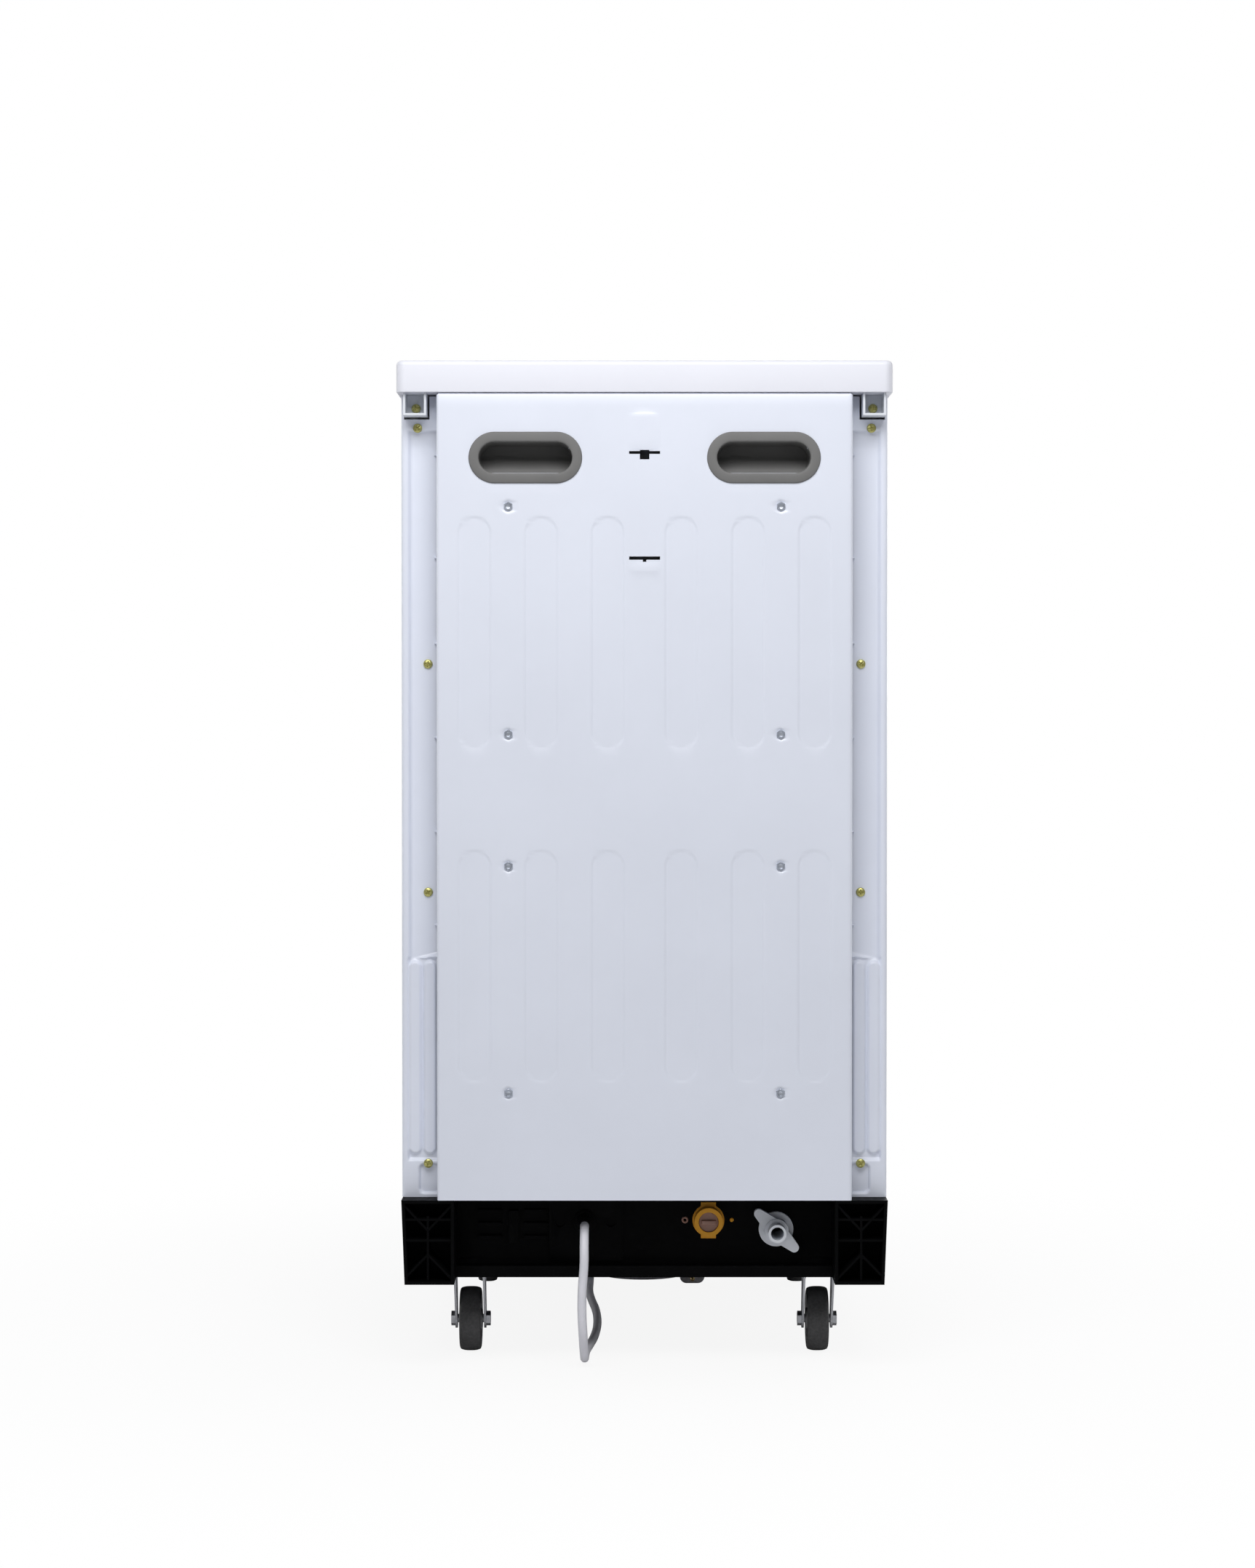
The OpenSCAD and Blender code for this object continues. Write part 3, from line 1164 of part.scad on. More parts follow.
module door_liner() {
    z0 = hinge_z - 1;
    z1 = tub_z1 + tub_lip + 1.5;
    hw = liner_hw;
    color([0.75, 0.76, 0.78]) on_door() difference() {
        union() {
            translate([-hw, door_back - 26, z0]) cube([2 * hw, 26, z1 - z0]);
            slab_y(door_back + press_h, press_h + 1) translate([0, (z0 + z1) / 2]) rrect(press_w, z1 - z0 - 110, 24);
        }
        // hollow towards the outer skin
        translate([-hw + sheet, door_back - 27, z0 + sheet]) cube([2 * (hw - sheet), 27 - sheet, z1 - z0 - 2 * sheet]);
        slab_y(door_back + press_h - sheet, press_h) translate([0, (z0 + z1) / 2]) rrect(press_w - 2 * sheet, z1 - z0 - 110 - 2 * sheet, 24 - sheet);
        // corners cut away round the hinges
        for (s = [-1, 1]) translate([s * (arm_x - 2.5 + 30), door_back, z0]) cube([60, 80, 28], center = true);
        slab_y(door_back + press_h + 1, 10) translate([0, disp_z]) square([disp_w - 8, disp_h - 8], center = true);
    }
}
module control_panel() {
    wall = fascia_wall;
    pz = fascia_z1 - 16 - pocket_h;
    color([0.9, 0.91, 0.93]) on_door() difference() {
        union() {
            difference() {
                translate([0, 0, fascia_z0]) linear_extrude(fascia_h) door_plan(0);
                translate([0, 0, fascia_z0 + wall]) linear_extrude(fascia_h - 2 * wall) door_hollow(wall);
            }
            // walls of the handle pocket
            translate([-pocket_w / 2 - wall, front_y + 1, pz - wall]) cube([pocket_w + 2 * wall, pocket_d + wall, pocket_h + 2 * wall]);
        }
        // the pocket, undercut behind its upper lip
        slab_x(-pocket_w / 2, pocket_w) polygon([
            [front_y - 1, pz], [front_y + pocket_d, pz + 4], [front_y + pocket_d, pz + pocket_h],
            [front_y + 8, pz + pocket_h], [front_y + 5, pz + pocket_h - 5], [front_y - 1, pz + pocket_h - 5]
        ]);
        // the back is open above the liner
        translate([-liner_hw - 0.4, door_back - 26.5, fascia_z0 - 1]) cube([2 * liner_hw + 0.8, 40, tub_z1 + 11 - fascia_z0 + 1]);
        translate([-14.3, door_back - 22.3, tongue_z - 0.3]) cube([28.6, 40, 3.6]);
        for (b = small_buttons) translate([b.x, 0, b.y]) rod_y(button_d / 2 + button_gap, front_y + 8, 12);
        translate([power_place.x, 0, power_place.y]) rod_y(power_d / 2 + button_gap, front_y + 8, 12);
        slab_y(front_y + 8, 12) translate([display_x, button_z]) rrect(display_w - 6, display_h - 6, 2);
        slab_y(front_y + 1.2, 12) translate([display_x, button_z]) rrect(display_w + 0.4, display_h + 0.4, 3);
    }
}
button_z = fascia_z0 + 40;
display_x = door_hw - 90;
power_place = [-door_hw + 36, button_z];
small_buttons = [[-door_hw + 36 + 1.2 * button_pitch, button_z], [door_hw - 32, button_z]];
module display_window() {
    color([0.08, 0.09, 0.1]) on_door() slab_y(front_y + 1.2, 1.6)
        translate([display_x, button_z]) rrect(display_w, display_h, 2.8);
}
// A button with a dished face and a collar behind the panel.
module push_button(x, z, d) {
    on_door() translate([x, 0, z]) difference() {
        union() {
            rod_y(d / 2, front_y + 8, 9.5);
            rod_y(d / 2 + 2, front_y + 2.5 + seat_gap + 2, 2);
        }
        translate([0, front_y - 1.5 - d, 0]) sphere(r = d + 0.5, $fn = 64);
    }
}
module power_button() { color([0.75, 0.77, 0.8]) push_button(power_place.x, power_place.y, power_d); }
module programme_button() { color([0.75, 0.77, 0.8]) push_button(small_buttons[0].x, small_buttons[0].y, button_d); }
module start_button() { color([0.75, 0.77, 0.8]) push_button(small_buttons[1].x, small_buttons[1].y, button_d); }

// The latch: its case behind the panel and the hooked tongue that enters the tub's keeper.
fascia_wall = 2.5;
module door_latch() {
    z = tongue_z;
    color([0.3, 0.31, 0.33]) on_door() {
        translate([-14, door_back - 22, z]) cube([28, 19, fascia_z1 - fascia_wall - seat_gap - z]);
        slab_x(-9, 18) polygon([
            [door_back - 3 - eps, z], [tub_front + 14, z], [tub_front + 14, z + 1.5], [tub_front + 8, z + 3],
            [door_back - 3 - eps, z + 3]
        ]);
    }
}
module door_hinge_arms() {
    color([0.6, 0.61, 0.63]) on_door() both_sides() difference() {
        slab_x(arm_x, hinge_t) {
            translate([hinge_y, hinge_z]) circle(8);
            translate([hinge_y - 8, hinge_z]) square([door_back - sheet - hinge_y + 8, 120]);
        }
        translate([0, hinge_y, hinge_z]) rod_x(pin_d / 2 + run_fit, arm_x - 1, hinge_t + 2);
    }
}
module hinge_brackets() {
    color([0.6, 0.61, 0.63]) both_sides() {
        slab_x(bracket_in, hinge_t) {
            translate([hinge_y, hinge_z]) circle(8.5);
            translate([hinge_y, hinge_z - 8.5]) square([base_front - hinge_y, 12.5]);
        }
        translate([0, hinge_y, hinge_z]) rod_x(pin_d / 2, arm_x - 1.5, bracket_in + hinge_t - arm_x + 3);
    }
}

// The dispenser: a moulded body with the detergent cup and the seat of the rinse aid cap.
lid_y = door_back + press_h + 2.2;
lid_z = disp_z + cup_h / 2 + 5;
rinse_x = disp_w / 2 - 9 - rinse_d / 2;
module detergent_dispenser() {
    face = door_back + press_h + 0.6;
    color([0.8, 0.81, 0.83]) on_door() difference() {
        union() {
            slab_y(face, 0.6 - eps) translate([0, disp_z]) rrect(disp_w, disp_h, 9);
            slab_y(face, cup_depth + 2) translate([0, disp_z]) square([disp_w - 8.4, disp_h - 8.4], center = true);
            // the lid's two hinge eyes
            for (s = [-1, 1]) translate([cup_x + s * (cup_w / 2 + 1.5), lid_y, lid_z]) rotate([0, 90, 0]) {
                translate([0, 0, -1.5]) cylinder(r = 2.6, h = 3);
                translate([-1, -2.2, -1.5]) cube([2, 2.3, 3]);
            }
        }
        slab_y(face + 1, cup_depth + 1) translate([cup_x, disp_z]) rrect(cup_w - 8, cup_h - 8, 6);
        translate([rinse_x, 0, disp_z]) rod_y(rinse_d / 2 - 6, face + 1, 12);
        for (s = [-1, 1]) translate([cup_x, lid_y, lid_z]) rod_x(1.2 + run_fit, -cup_w / 2 - 4, cup_w + 8);
    }
}
module detergent_lid() {
    color([0.72, 0.74, 0.77]) on_door() {
        slab_y(lid_y + 1.2, 2.1) translate([cup_x, disp_z]) rrect(cup_w - 2, cup_h, 6);
        translate([cup_x, lid_y, lid_z]) {
            rod_x(1.2, -cup_w / 2 - 3, cup_w + 6);
            rod_x(1.4, -cup_w / 2 + 4, cup_w - 8);
        }
        translate([cup_x - cup_w / 2 + 6, lid_y - 0.9, disp_z + cup_h / 2 - 3]) cube([cup_w - 12, 2.1, 8]);
        // thumb catch
        translate([cup_x - 9, lid_y + 1.2 - eps, disp_z - cup_h / 2 + 4]) cube([18, 2, 5]);
    }
}
module rinse_cap() {
    y = door_back + press_h + 0.6 + seat_gap;
    color([0.3, 0.33, 0.4]) on_door() translate([rinse_x, 0, disp_z]) {
        rod_y(rinse_d / 2, y + 3, 3);
        rod_y(rinse_d / 2 - 6 - run_fit, y + eps, 8);
        translate([0, y + 5, 0]) cube([5, 5, rinse_d - 6], center = true);
    }
}

// ---------------------------------------------------------------- pieces

worktop();
worktop_brackets();
side_panel_left();
side_panel_right();
rear_panel();
grip_left();
grip_right();
rear_panel_screws();
body_screws();
base();
inlet_valve();
inlet_cap();
drain_outlet();
drain_wing_nut();
cord_gland();
power_cord();
cord_coil();
cord_tie();
power_plug();
caster_plates();
caster_fork_fl();
caster_fork_fr();
caster_fork_rl();
caster_fork_rr();
caster_wheel_fl();
caster_wheel_fr();
caster_wheel_rl();
caster_wheel_rr();
tub();
tub_gasket();
sump();
sump_filter();
heater();
circulation_pump();
drain_pump();
counterweight();
rack_rails();
feed_pipe();
lower_rack();
lower_rack_rollers();
cutlery_basket();
lower_spray_arm();
upper_rack();
upper_rack_rollers();
rack_manifold();
upper_spray_arm();
hinge_brackets();
door_hinge_arms();
door_outer();
door_liner();
control_panel();
display_window();
door_latch();
power_button();
programme_button();
start_button();
detergent_dispenser();
detergent_lid();
rinse_cap();
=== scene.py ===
"""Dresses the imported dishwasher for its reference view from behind. Metres, +Z up, door towards -Y."""

import json
from math import radians

import bmesh
import bpy
import numpy as np
from bpy.props import FloatProperty, FloatVectorProperty, IntProperty, PointerProperty
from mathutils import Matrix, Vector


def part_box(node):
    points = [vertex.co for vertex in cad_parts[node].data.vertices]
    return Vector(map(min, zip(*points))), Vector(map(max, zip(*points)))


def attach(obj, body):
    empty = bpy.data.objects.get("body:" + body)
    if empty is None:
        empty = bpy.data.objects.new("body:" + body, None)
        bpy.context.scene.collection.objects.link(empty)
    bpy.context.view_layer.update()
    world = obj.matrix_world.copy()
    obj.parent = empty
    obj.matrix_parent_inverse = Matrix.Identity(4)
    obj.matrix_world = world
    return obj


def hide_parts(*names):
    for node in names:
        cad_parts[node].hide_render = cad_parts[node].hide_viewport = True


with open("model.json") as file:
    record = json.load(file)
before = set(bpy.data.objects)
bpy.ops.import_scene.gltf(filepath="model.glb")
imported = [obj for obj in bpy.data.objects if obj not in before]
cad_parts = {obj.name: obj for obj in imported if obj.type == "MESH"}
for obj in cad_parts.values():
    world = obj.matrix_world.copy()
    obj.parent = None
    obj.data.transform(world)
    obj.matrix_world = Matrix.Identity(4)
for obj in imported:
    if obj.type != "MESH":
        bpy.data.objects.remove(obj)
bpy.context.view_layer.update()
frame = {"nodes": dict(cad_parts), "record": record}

bl_info = {
    "name": "Portable Dishwasher",
    "version": (1, 0, 0),
    "blender": (4, 5, 0),
    "location": "3D View > Sidebar > Dishwasher",
    "description": "Dresses a packed portable dishwasher piece by piece",
    "category": "Object",
}

MM = 0.001
TAU = 2 * np.pi
# Copies of CAD nodes: points merged within CAD_WELD metres; degrees up to which faces are one flat, and edges soft
CAD_WELD, FLAT_WITHIN, SHARP_FROM = 5e-6, 0.5, 40


def mm(node):
    """The low and the high corner of a node's box, in millimetres."""
    return np.array(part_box(node)) / MM


# ------------------------------------------------------------ sizes and colours


def length_prop(name, description, default):
    return FloatProperty(name=name, description=description, default=default, min=0, unit="LENGTH", precision=5)


def colour_prop(name, description, default):
    return FloatVectorProperty(
        name=name, description=description, default=default, size=3, min=0, max=1, subtype="COLOR"
    )


class DishwasherSizes(bpy.types.PropertyGroup):
    """Sizes that the solids don't give: soft edges and the depths of pressings."""

    edge_round: length_prop("Edge round", "Radius of the worktop's upper edge", 0.0045)
    corner_round: length_prop("Corner round", "Radius of the worktop's upright corners", 0.008)
    field_soft: length_prop("Field slope", "Width over which a pressed field sinks", 0.0014)
    mould_ease: length_prop("Moulding edge", "Radius of the moulded pieces' edges", 0.0006)
    metal_ease: length_prop("Metal edge", "Radius of the cut metal's edges", 0.0003)
    cord_diameter: length_prop("Cord diameter", "Diameter of the mains cord", 0.0082)
    wire_sides: IntProperty(name="Wire sides", description="Sides of each rack wire", default=8, min=6, max=16)


class DishwasherColours(bpy.types.PropertyGroup):
    """The colours of the main finishes."""

    enamel: colour_prop("Enamel", "White powder coat of the steel sheets", (0.785, 0.82, 0.92))
    laminate: colour_prop("Worktop", "White worktop", (0.80, 0.81, 0.88))
    grip_grey: colour_prop("Grips", "Grey grip mouldings", (0.188, 0.187, 0.185))
    base_black: colour_prop("Base", "Black base moulding", (0.0022, 0.0023, 0.0026))
    inlet_orange: colour_prop("Inlet", "Orange water inlet", (0.62, 0.27, 0.002))
    cord_grey: colour_prop("Cord", "Sheath of the mains cord", (0.80, 0.80, 0.86))


# ------------------------------------------------------------ surfaces as arrays


def grid_quads(rows, cols, wrap_rows=False, wrap_cols=False):
    """Quads of a rows x cols grid of points, joined round where it wraps."""
    r = np.arange(rows if wrap_rows else rows - 1)
    c = np.arange(cols if wrap_cols else cols - 1)
    r, c = np.meshgrid(r, c, indexing="ij")
    r2, c2 = (r + 1) % rows, (c + 1) % cols
    return np.stack([r * cols + c, r * cols + c2, r2 * cols + c2, r2 * cols + c], -1).reshape(-1, 4)


def shell(rings, start=True, end=True, closed=True):
    """Rings of points (k, n, 3) skinned into a tube, its ends filled by one flat face each."""
    k, n = rings.shape[:2]
    faces = grid_quads(k, n, False, closed).tolist()
    if start:
        faces.append(list(range(n)))
    if end:
        faces.append(list(range((k - 1) * n, k * n)))
    return rings.reshape(-1, 3), faces


def gather(parts):
    """Several (points, faces) shells as one."""
    points, faces, base = [], [], 0
    for p, f in parts:
        points.append(p)
        faces += [[i + base for i in face] for face in f]
        base += len(p)
    return np.concatenate(points), faces


def piece(name, shape, body, finish, replaces, sharp=35, ease=0.0, weld=2e-6):
    """A new mesh object from (points in mm, faces), which rides on a body and stands for CAD nodes."""
    points, faces = shape
    mesh = bpy.data.meshes.new(name)
    mesh.from_pydata((np.asarray(points) * MM).tolist(), [], faces)
    tidy_mesh(mesh, weld, sharp)
    return place(name, mesh, body, finish, replaces, ease)


def tidy_mesh(mesh, weld, sharp):
    """Merges doubles, points the faces outwards and marks the sharp edges."""
    bm = bmesh.new()
    bm.from_mesh(mesh)
    if weld:
        bmesh.ops.remove_doubles(bm, verts=bm.verts, dist=weld)
    bmesh.ops.dissolve_degenerate(bm, edges=bm.edges, dist=1e-8)
    bmesh.ops.recalc_face_normals(bm, faces=bm.faces)
    bm.to_mesh(mesh)
    bm.free()
    mesh.shade_smooth()
    mesh.set_sharp_from_angle(angle=radians(sharp))


def sharpen_rims(mesh):
    """Marks as sharp every edge that has one face only."""
    used = np.empty(len(mesh.loops), np.int32)
    mesh.loops.foreach_get("edge_index", used)
    sharp = np.zeros(len(mesh.edges), bool)
    mesh.edges.foreach_get("use_edge_sharp", sharp)
    sharp |= np.bincount(used, minlength=len(mesh.edges)) == 1
    mesh.edges.foreach_set("use_edge_sharp", sharp)


def place(name, mesh, body, finish, replaces, ease=0.0):
    """Puts a finished mesh in the scene, with a small bevel if it asks for one."""
    obj = bpy.data.objects.new(name, mesh)
    bpy.context.scene.collection.objects.link(obj)
    mesh.materials.clear()
    mesh.materials.append(material(finish))
    if ease:
        soft = obj.modifiers.new("soft_edges", "BEVEL")
        soft.width = ease
        soft.segments = 2
        soft.limit_method = "ANGLE"
        soft.angle_limit = radians(SHARP_FROM)
        soft.harden_normals = True
    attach(obj, body)
    if replaces:
        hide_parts(*replaces)
    return obj


def body_of_node(node):
    return next(b for b, nodes in frame["record"]["behaviour"]["bodies"].items() if node in nodes)


def eased(node, finish, ease, sharp=SHARP_FROM):
    """A copy of a CAD node with its edges softened, in the node's place."""
    mesh = frame["nodes"][node].data.copy()
    bm = bmesh.new()
    bm.from_mesh(mesh)
    bmesh.ops.remove_doubles(bm, verts=bm.verts, dist=CAD_WELD)
    bmesh.ops.dissolve_limit(bm, angle_limit=radians(FLAT_WITHIN), verts=bm.verts, edges=bm.edges)
    bm.to_mesh(mesh)
    bm.free()
    mesh.shade_smooth()
    mesh.set_sharp_from_angle(angle=radians(sharp))
    return place(node + "_eased", mesh, body_of_node(node), finish, (node,), ease)


def eased_nodes(edge, rows):
    """Eases several nodes by one edge radius: each row is a node, its finish and its share of that radius."""
    for node, finish, share in rows:
        eased(node, finish, edge * share)


def keep(finish, *nodes):
    """CAD nodes whose shape is right get a finish and stay."""
    for node in nodes:
        data = frame["nodes"][node].data
        data.materials.clear()
        data.materials.append(material(finish))


def step(x, edge, soft):
    """Smooth step from 0 to 1 as x passes edge, over the width soft."""
    t = np.clip((x - edge) / soft + 0.5, 0, 1)
    return t * t * (3 - 2 * t)


def obround_distance(x, z, w, h):
    """Signed distance from an upright obround of width w and height h round the origin."""
    r = w / 2
    return np.hypot(x, np.maximum(np.abs(z) - (h / 2 - r), 0)) - r


def box_distance(x, z, w, h, r):
    """Signed distance from a rectangle with corners of radius r."""
    qx, qz = np.abs(x) - (w / 2 - r), np.abs(z) - (h / 2 - r)
    return np.hypot(np.maximum(qx, 0), np.maximum(qz, 0)) + np.minimum(np.maximum(qx, qz), 0) - r


def merged_lines(lines, exact, near=0.35):
    """Grid lines with the exact ones put in and their close neighbours taken out."""
    exact = np.unique(np.round(exact, 4))
    far = np.min(np.abs(lines[:, None] - exact), 1) > near
    return np.unique(np.round(np.append(lines[far], exact), 4))


def grown_lines(low, high, coarse, fine, places, reach):
    """Grid lines from low to high: fine within reach of the places, coarse elsewhere."""
    out, x = [low], low
    marks = np.array(places)
    while x < high:
        d = np.min(np.abs(marks - x))
        x += fine + (coarse - fine) * np.clip((d - reach) / reach, 0, 1)
        out.append(min(x, high))
    return np.array(out)


def rounded_outline(w, h, r, n=8):
    """Points round a rectangle with round corners, anticlockwise, as (x, z)."""
    a = np.linspace(0, np.pi / 2, n)
    corner = np.stack([np.cos(a), np.sin(a)], -1) * r
    out = []
    for q, (sx, sz) in enumerate(((1, 1), (-1, 1), (-1, -1), (1, -1))):
        c, s = np.cos(q * np.pi / 2), np.sin(q * np.pi / 2)
        out.append(corner @ np.array([[c, s], [-s, c]]) + [sx * (w / 2 - r), sz * (h / 2 - r)])
    return np.concatenate(out)


def inset(outline, d):
    """A closed outline moved inwards by d along its mean normals."""
    before, after = np.roll(outline, 1, 0), np.roll(outline, -1, 0)
    e1, e2 = outline - before, after - outline
    e1 /= np.linalg.norm(e1, axis=1, keepdims=True) + 1e-12
    e2 /= np.linalg.norm(e2, axis=1, keepdims=True) + 1e-12
    n = np.stack([-(e1 + e2)[:, 1], (e1 + e2)[:, 0]], -1)
    n /= np.linalg.norm(n, axis=1, keepdims=True) + 1e-12
    half = np.clip(np.sum(n * np.stack([-e1[:, 1], e1[:, 0]], -1), 1), 0.4, 1)
    return outline + n * (d / half)[:, None]


def eased_slab(outline, low, high, r_low, r_high, steps):
    """A plate over an outline, each edge rounded: its rings are inset by r(1 - sin a) and raised by r(1 - cos a)."""
    a = np.linspace(0, np.pi / 2, steps + 1)
    rings = [(r_low * (1 - np.sin(t)), low + r_low * (1 - np.cos(t))) for t in a]
    rings += [(r_high * (1 - np.sin(t)), high - r_high * (1 - np.cos(t))) for t in a[::-1]]
    return np.stack([np.column_stack([inset(outline, d), np.full(len(outline), z)]) for d, z in rings])


def facing(points, axis, at):
    """Turns points worked out as (across, up, out) so that 'out' runs along +Y or +X."""
    u, v, w = np.moveaxis(np.asarray(points, float), -1, 0)
    out = {"+y": (-u, w, v), "+x": (w, u, v)}[axis]
    return np.stack(out, -1) + np.asarray(at, float)


def revolve(profile, axis, at, n, caps=(True, True)):
    """A profile of (radius, out) carried round its axis: points r(cos a, sin a) at height out."""
    a = np.arange(n) * TAU / n
    r, w = np.asarray(profile, float).T
    rings = np.stack([r[:, None] * np.cos(a), r[:, None] * np.sin(a), np.repeat(w[:, None], n, 1)], -1)
    points, faces = shell(rings, *caps)
    return facing(points, axis, at), faces


def spline(points, per):
    """A smooth line through the points: Catmull-Rom pieces, evenly stepped in each."""
    p = np.asarray(points, float)
    p = np.concatenate([[2 * p[0] - p[1]], p, [2 * p[-1] - p[-2]]])
    t = (np.arange(per) / per)[:, None, None]
    a, b, c, d = p[:-3], p[1:-2], p[2:-1], p[3:]
    s = 0.5 * (2 * b + (c - a) * t + (2 * a - 5 * b + 4 * c - d) * t**2 + (3 * b - a - 3 * c + d) * t**3)
    return np.concatenate([np.moveaxis(s, 0, 1).reshape(-1, p.shape[1]), p[-2:-1]])


def tube(path, r, n, ends=True):
    """A round tube along a path: rings in planes across it, turned as little as possible from one to the next."""
    p = np.asarray(path, float)
    t = np.gradient(p, axis=0)
    t /= np.linalg.norm(t, axis=1, keepdims=True)
    u = np.cross(t[0], [0.31, 0.17, 0.93])
    frames = []
    for ti in t:
        u = u - ti * np.dot(u, ti)
        u /= np.linalg.norm(u)
        frames.append(u)
    u = np.array(frames)
    w = np.cross(t, u)
    a = (np.arange(n) + 0.5) * TAU / n
    r = np.broadcast_to(np.asarray(r, float), len(p))[:, None, None]
    rings = p[:, None] + r * (u[:, None] * np.cos(a)[:, None] + w[:, None] * np.sin(a)[:, None])
    return shell(rings, ends, ends)


def bent(points, r):
    """A line of straight runs, each corner replaced by a quadratic curve of reach r."""
    p = np.asarray(points, float)
    out = [p[0]]
    for a, b, c in zip(p[:-2], p[1:-1], p[2:]):
        la, lc = np.linalg.norm(a - b), np.linalg.norm(c - b)
        q = min(r, la / 2.2, lc / 2.2)
        s, e = b + (a - b) / la * q, b + (c - b) / lc * q
        t = np.linspace(0, 1, 5)[:, None]
        out += list((1 - t) ** 2 * s + 2 * t * (1 - t) * b + t**2 * e)
    out.append(p[-1])
    return np.array(out)


# ------------------------------------------------------------ finishes


def finish(colour, rough, spread, grain, patch, **more):
    """One finish: colour, roughness and its spread, grain (size, depth in mm) and patches (size in mm, strength).
    More may be metallic, specular, coat, brush (stretch along x, y, z), tint (colour of the patches) and dust."""
    return dict(colour=colour, rough=rough, spread=spread, grain=grain, patch=patch, **more)


FINISHES = {
    "enamel": finish("enamel", 0.32, 0.05, (1.6, 0.006), (90, 0.025), coat=0.25),
    "laminate": finish("laminate", 0.46, 0.05, (0.9, 0.006), (120, 0.02)),
    "grip_plastic": finish("grip_grey", 0.5, 0.08, (0.7, 0.02), (30, 0.06), specular=0.14),
    "base_plastic": finish("base_black", 0.5, 0.12, (0.9, 0.02), (26, 0.35), specular=0.04),
    "pale_plastic": finish((0.66, 0.68, 0.73), 0.42, 0.06, (0.8, 0.012), (20, 0.05)),
    "zinc": finish((0.58, 0.62, 0.70), 0.34, 0.12, (0.6, 0.006), (5, 0.18), metallic=0.8),
    "yellow_zinc": finish((0.80, 0.66, 0.13), 0.36, 0.1, (0.6, 0.005), (3.5, 0.3), metallic=0.7,
                          tint=(0.56, 0.60, 0.14)),
    "orange_plastic": finish("inlet_orange", 0.36, 0.06, (0.8, 0.012), (12, 0.08)),
    "cap_rubber": finish((0.30, 0.17, 0.13), 0.6, 0.08, (0.5, 0.02), (8, 0.1)),
    "sheath": finish("cord_grey", 0.42, 0.06, (0.8, 0.02), (18, 0.06)),
    "brass": finish((0.70, 0.52, 0.24), 0.3, 0.1, (0.5, 0.004), (6, 0.15), metallic=1),
    "galvanised": finish((0.56, 0.57, 0.60), 0.4, 0.14, (1.2, 0.01), (9, 0.14), metallic=1, brush=(1, 1, 0.4)),
    "tyre": finish((0.045, 0.045, 0.048), 0.62, 0.1, (0.7, 0.03), (14, 0.25), dust=0.10),
    "hub_plastic": finish((0.25, 0.25, 0.26), 0.5, 0.08, (0.8, 0.02), (14, 0.08)),
    "stainless": finish((0.68, 0.685, 0.70), 0.27, 0.12, (0.5, 0.006), (60, 0.06), metallic=1, brush=(0.04, 0.04, 1)),
    "seal": finish((0.035, 0.035, 0.037), 0.7, 0.08, (0.5, 0.03), (12, 0.15)),
    "works_plastic": finish((0.06, 0.06, 0.064), 0.5, 0.1, (1.0, 0.03), (16, 0.12)),
    "hot_tube": finish((0.27, 0.25, 0.23), 0.42, 0.14, (0.8, 0.02), (14, 0.3), metallic=1, tint=(0.12, 0.09, 0.14)),
    "cast": finish((0.24, 0.24, 0.235), 0.82, 0.1, (2.5, 0.25), (12, 0.2)),
    "nylon_wire": finish((0.27, 0.29, 0.33), 0.36, 0.05, (1.0, 0.015), (40, 0.05)),
    "rack_plastic": finish((0.22, 0.235, 0.26), 0.45, 0.06, (0.9, 0.02), (25, 0.06)),
    "roller_plastic": finish((0.68, 0.68, 0.66), 0.4, 0.06, (0.8, 0.015), (12, 0.05)),
    "panel_gloss": finish((0.78, 0.79, 0.83), 0.22, 0.04, (1.4, 0.004), (70, 0.02), coat=0.4),
    "display_glass": finish((0.006, 0.007, 0.009), 0.08, 0.03, (2.0, 0.001), (30, 0.1), coat=0.8),
    "key_silver": finish((0.56, 0.57, 0.61), 0.3, 0.05, (0.6, 0.004), (8, 0.05), metallic=0.6),
    "dispenser_grey": finish((0.50, 0.52, 0.56), 0.36, 0.06, (0.8, 0.012), (22, 0.05)),
    "rinse_blue": finish((0.05, 0.085, 0.17), 0.4, 0.06, (0.8, 0.015), (14, 0.08)),
}
COAT_ROUGHNESS, GRAIN_HEIGHT, GRAIN_STRENGTH = 0.12, 4, 0.8
DUST_SIZE, DUST_COLOUR = 2.2, (0.35, 0.34, 0.33)


def nodes_of(mat):
    """A cleared node tree with its surface shader and object coordinates."""
    mat.use_nodes = True
    tree = mat.node_tree
    tree.nodes.clear()
    out = tree.nodes.new("ShaderNodeOutputMaterial")
    shader = tree.nodes.new("ShaderNodeBsdfPrincipled")
    coords = tree.nodes.new("ShaderNodeTexCoord")
    tree.links.new(shader.outputs[0], out.inputs[0])
    return tree, shader, coords


def new_node(tree, kind, inputs, **settings):
    """A new shader node with its settings, and its inputs either linked to sockets or set to values."""
    node = tree.nodes.new("ShaderNode" + kind)
    for name, value in settings.items():
        setattr(node, name, value)
    for name, value in inputs.items():
        if isinstance(value, bpy.types.NodeSocket):
            tree.links.new(value, node.inputs[name])
        else:
            node.inputs[name].default_value = value
    return node


def noise(tree, coords, size_mm, detail, shift, stretch=(1, 1, 1)):
    """Noise whose features are about size_mm across, on the piece's own coordinates."""
    at = (shift, shift * 1.7, shift * 0.6)
    placed = new_node(tree, "Mapping", {"Location": at, "Scale": stretch, "Vector": coords.outputs["Object"]})
    grains = {"Scale": 1 / (size_mm * MM), "Detail": detail, "Vector": placed.outputs[0]}
    return new_node(tree, "TexNoise", grains).outputs["Fac"]


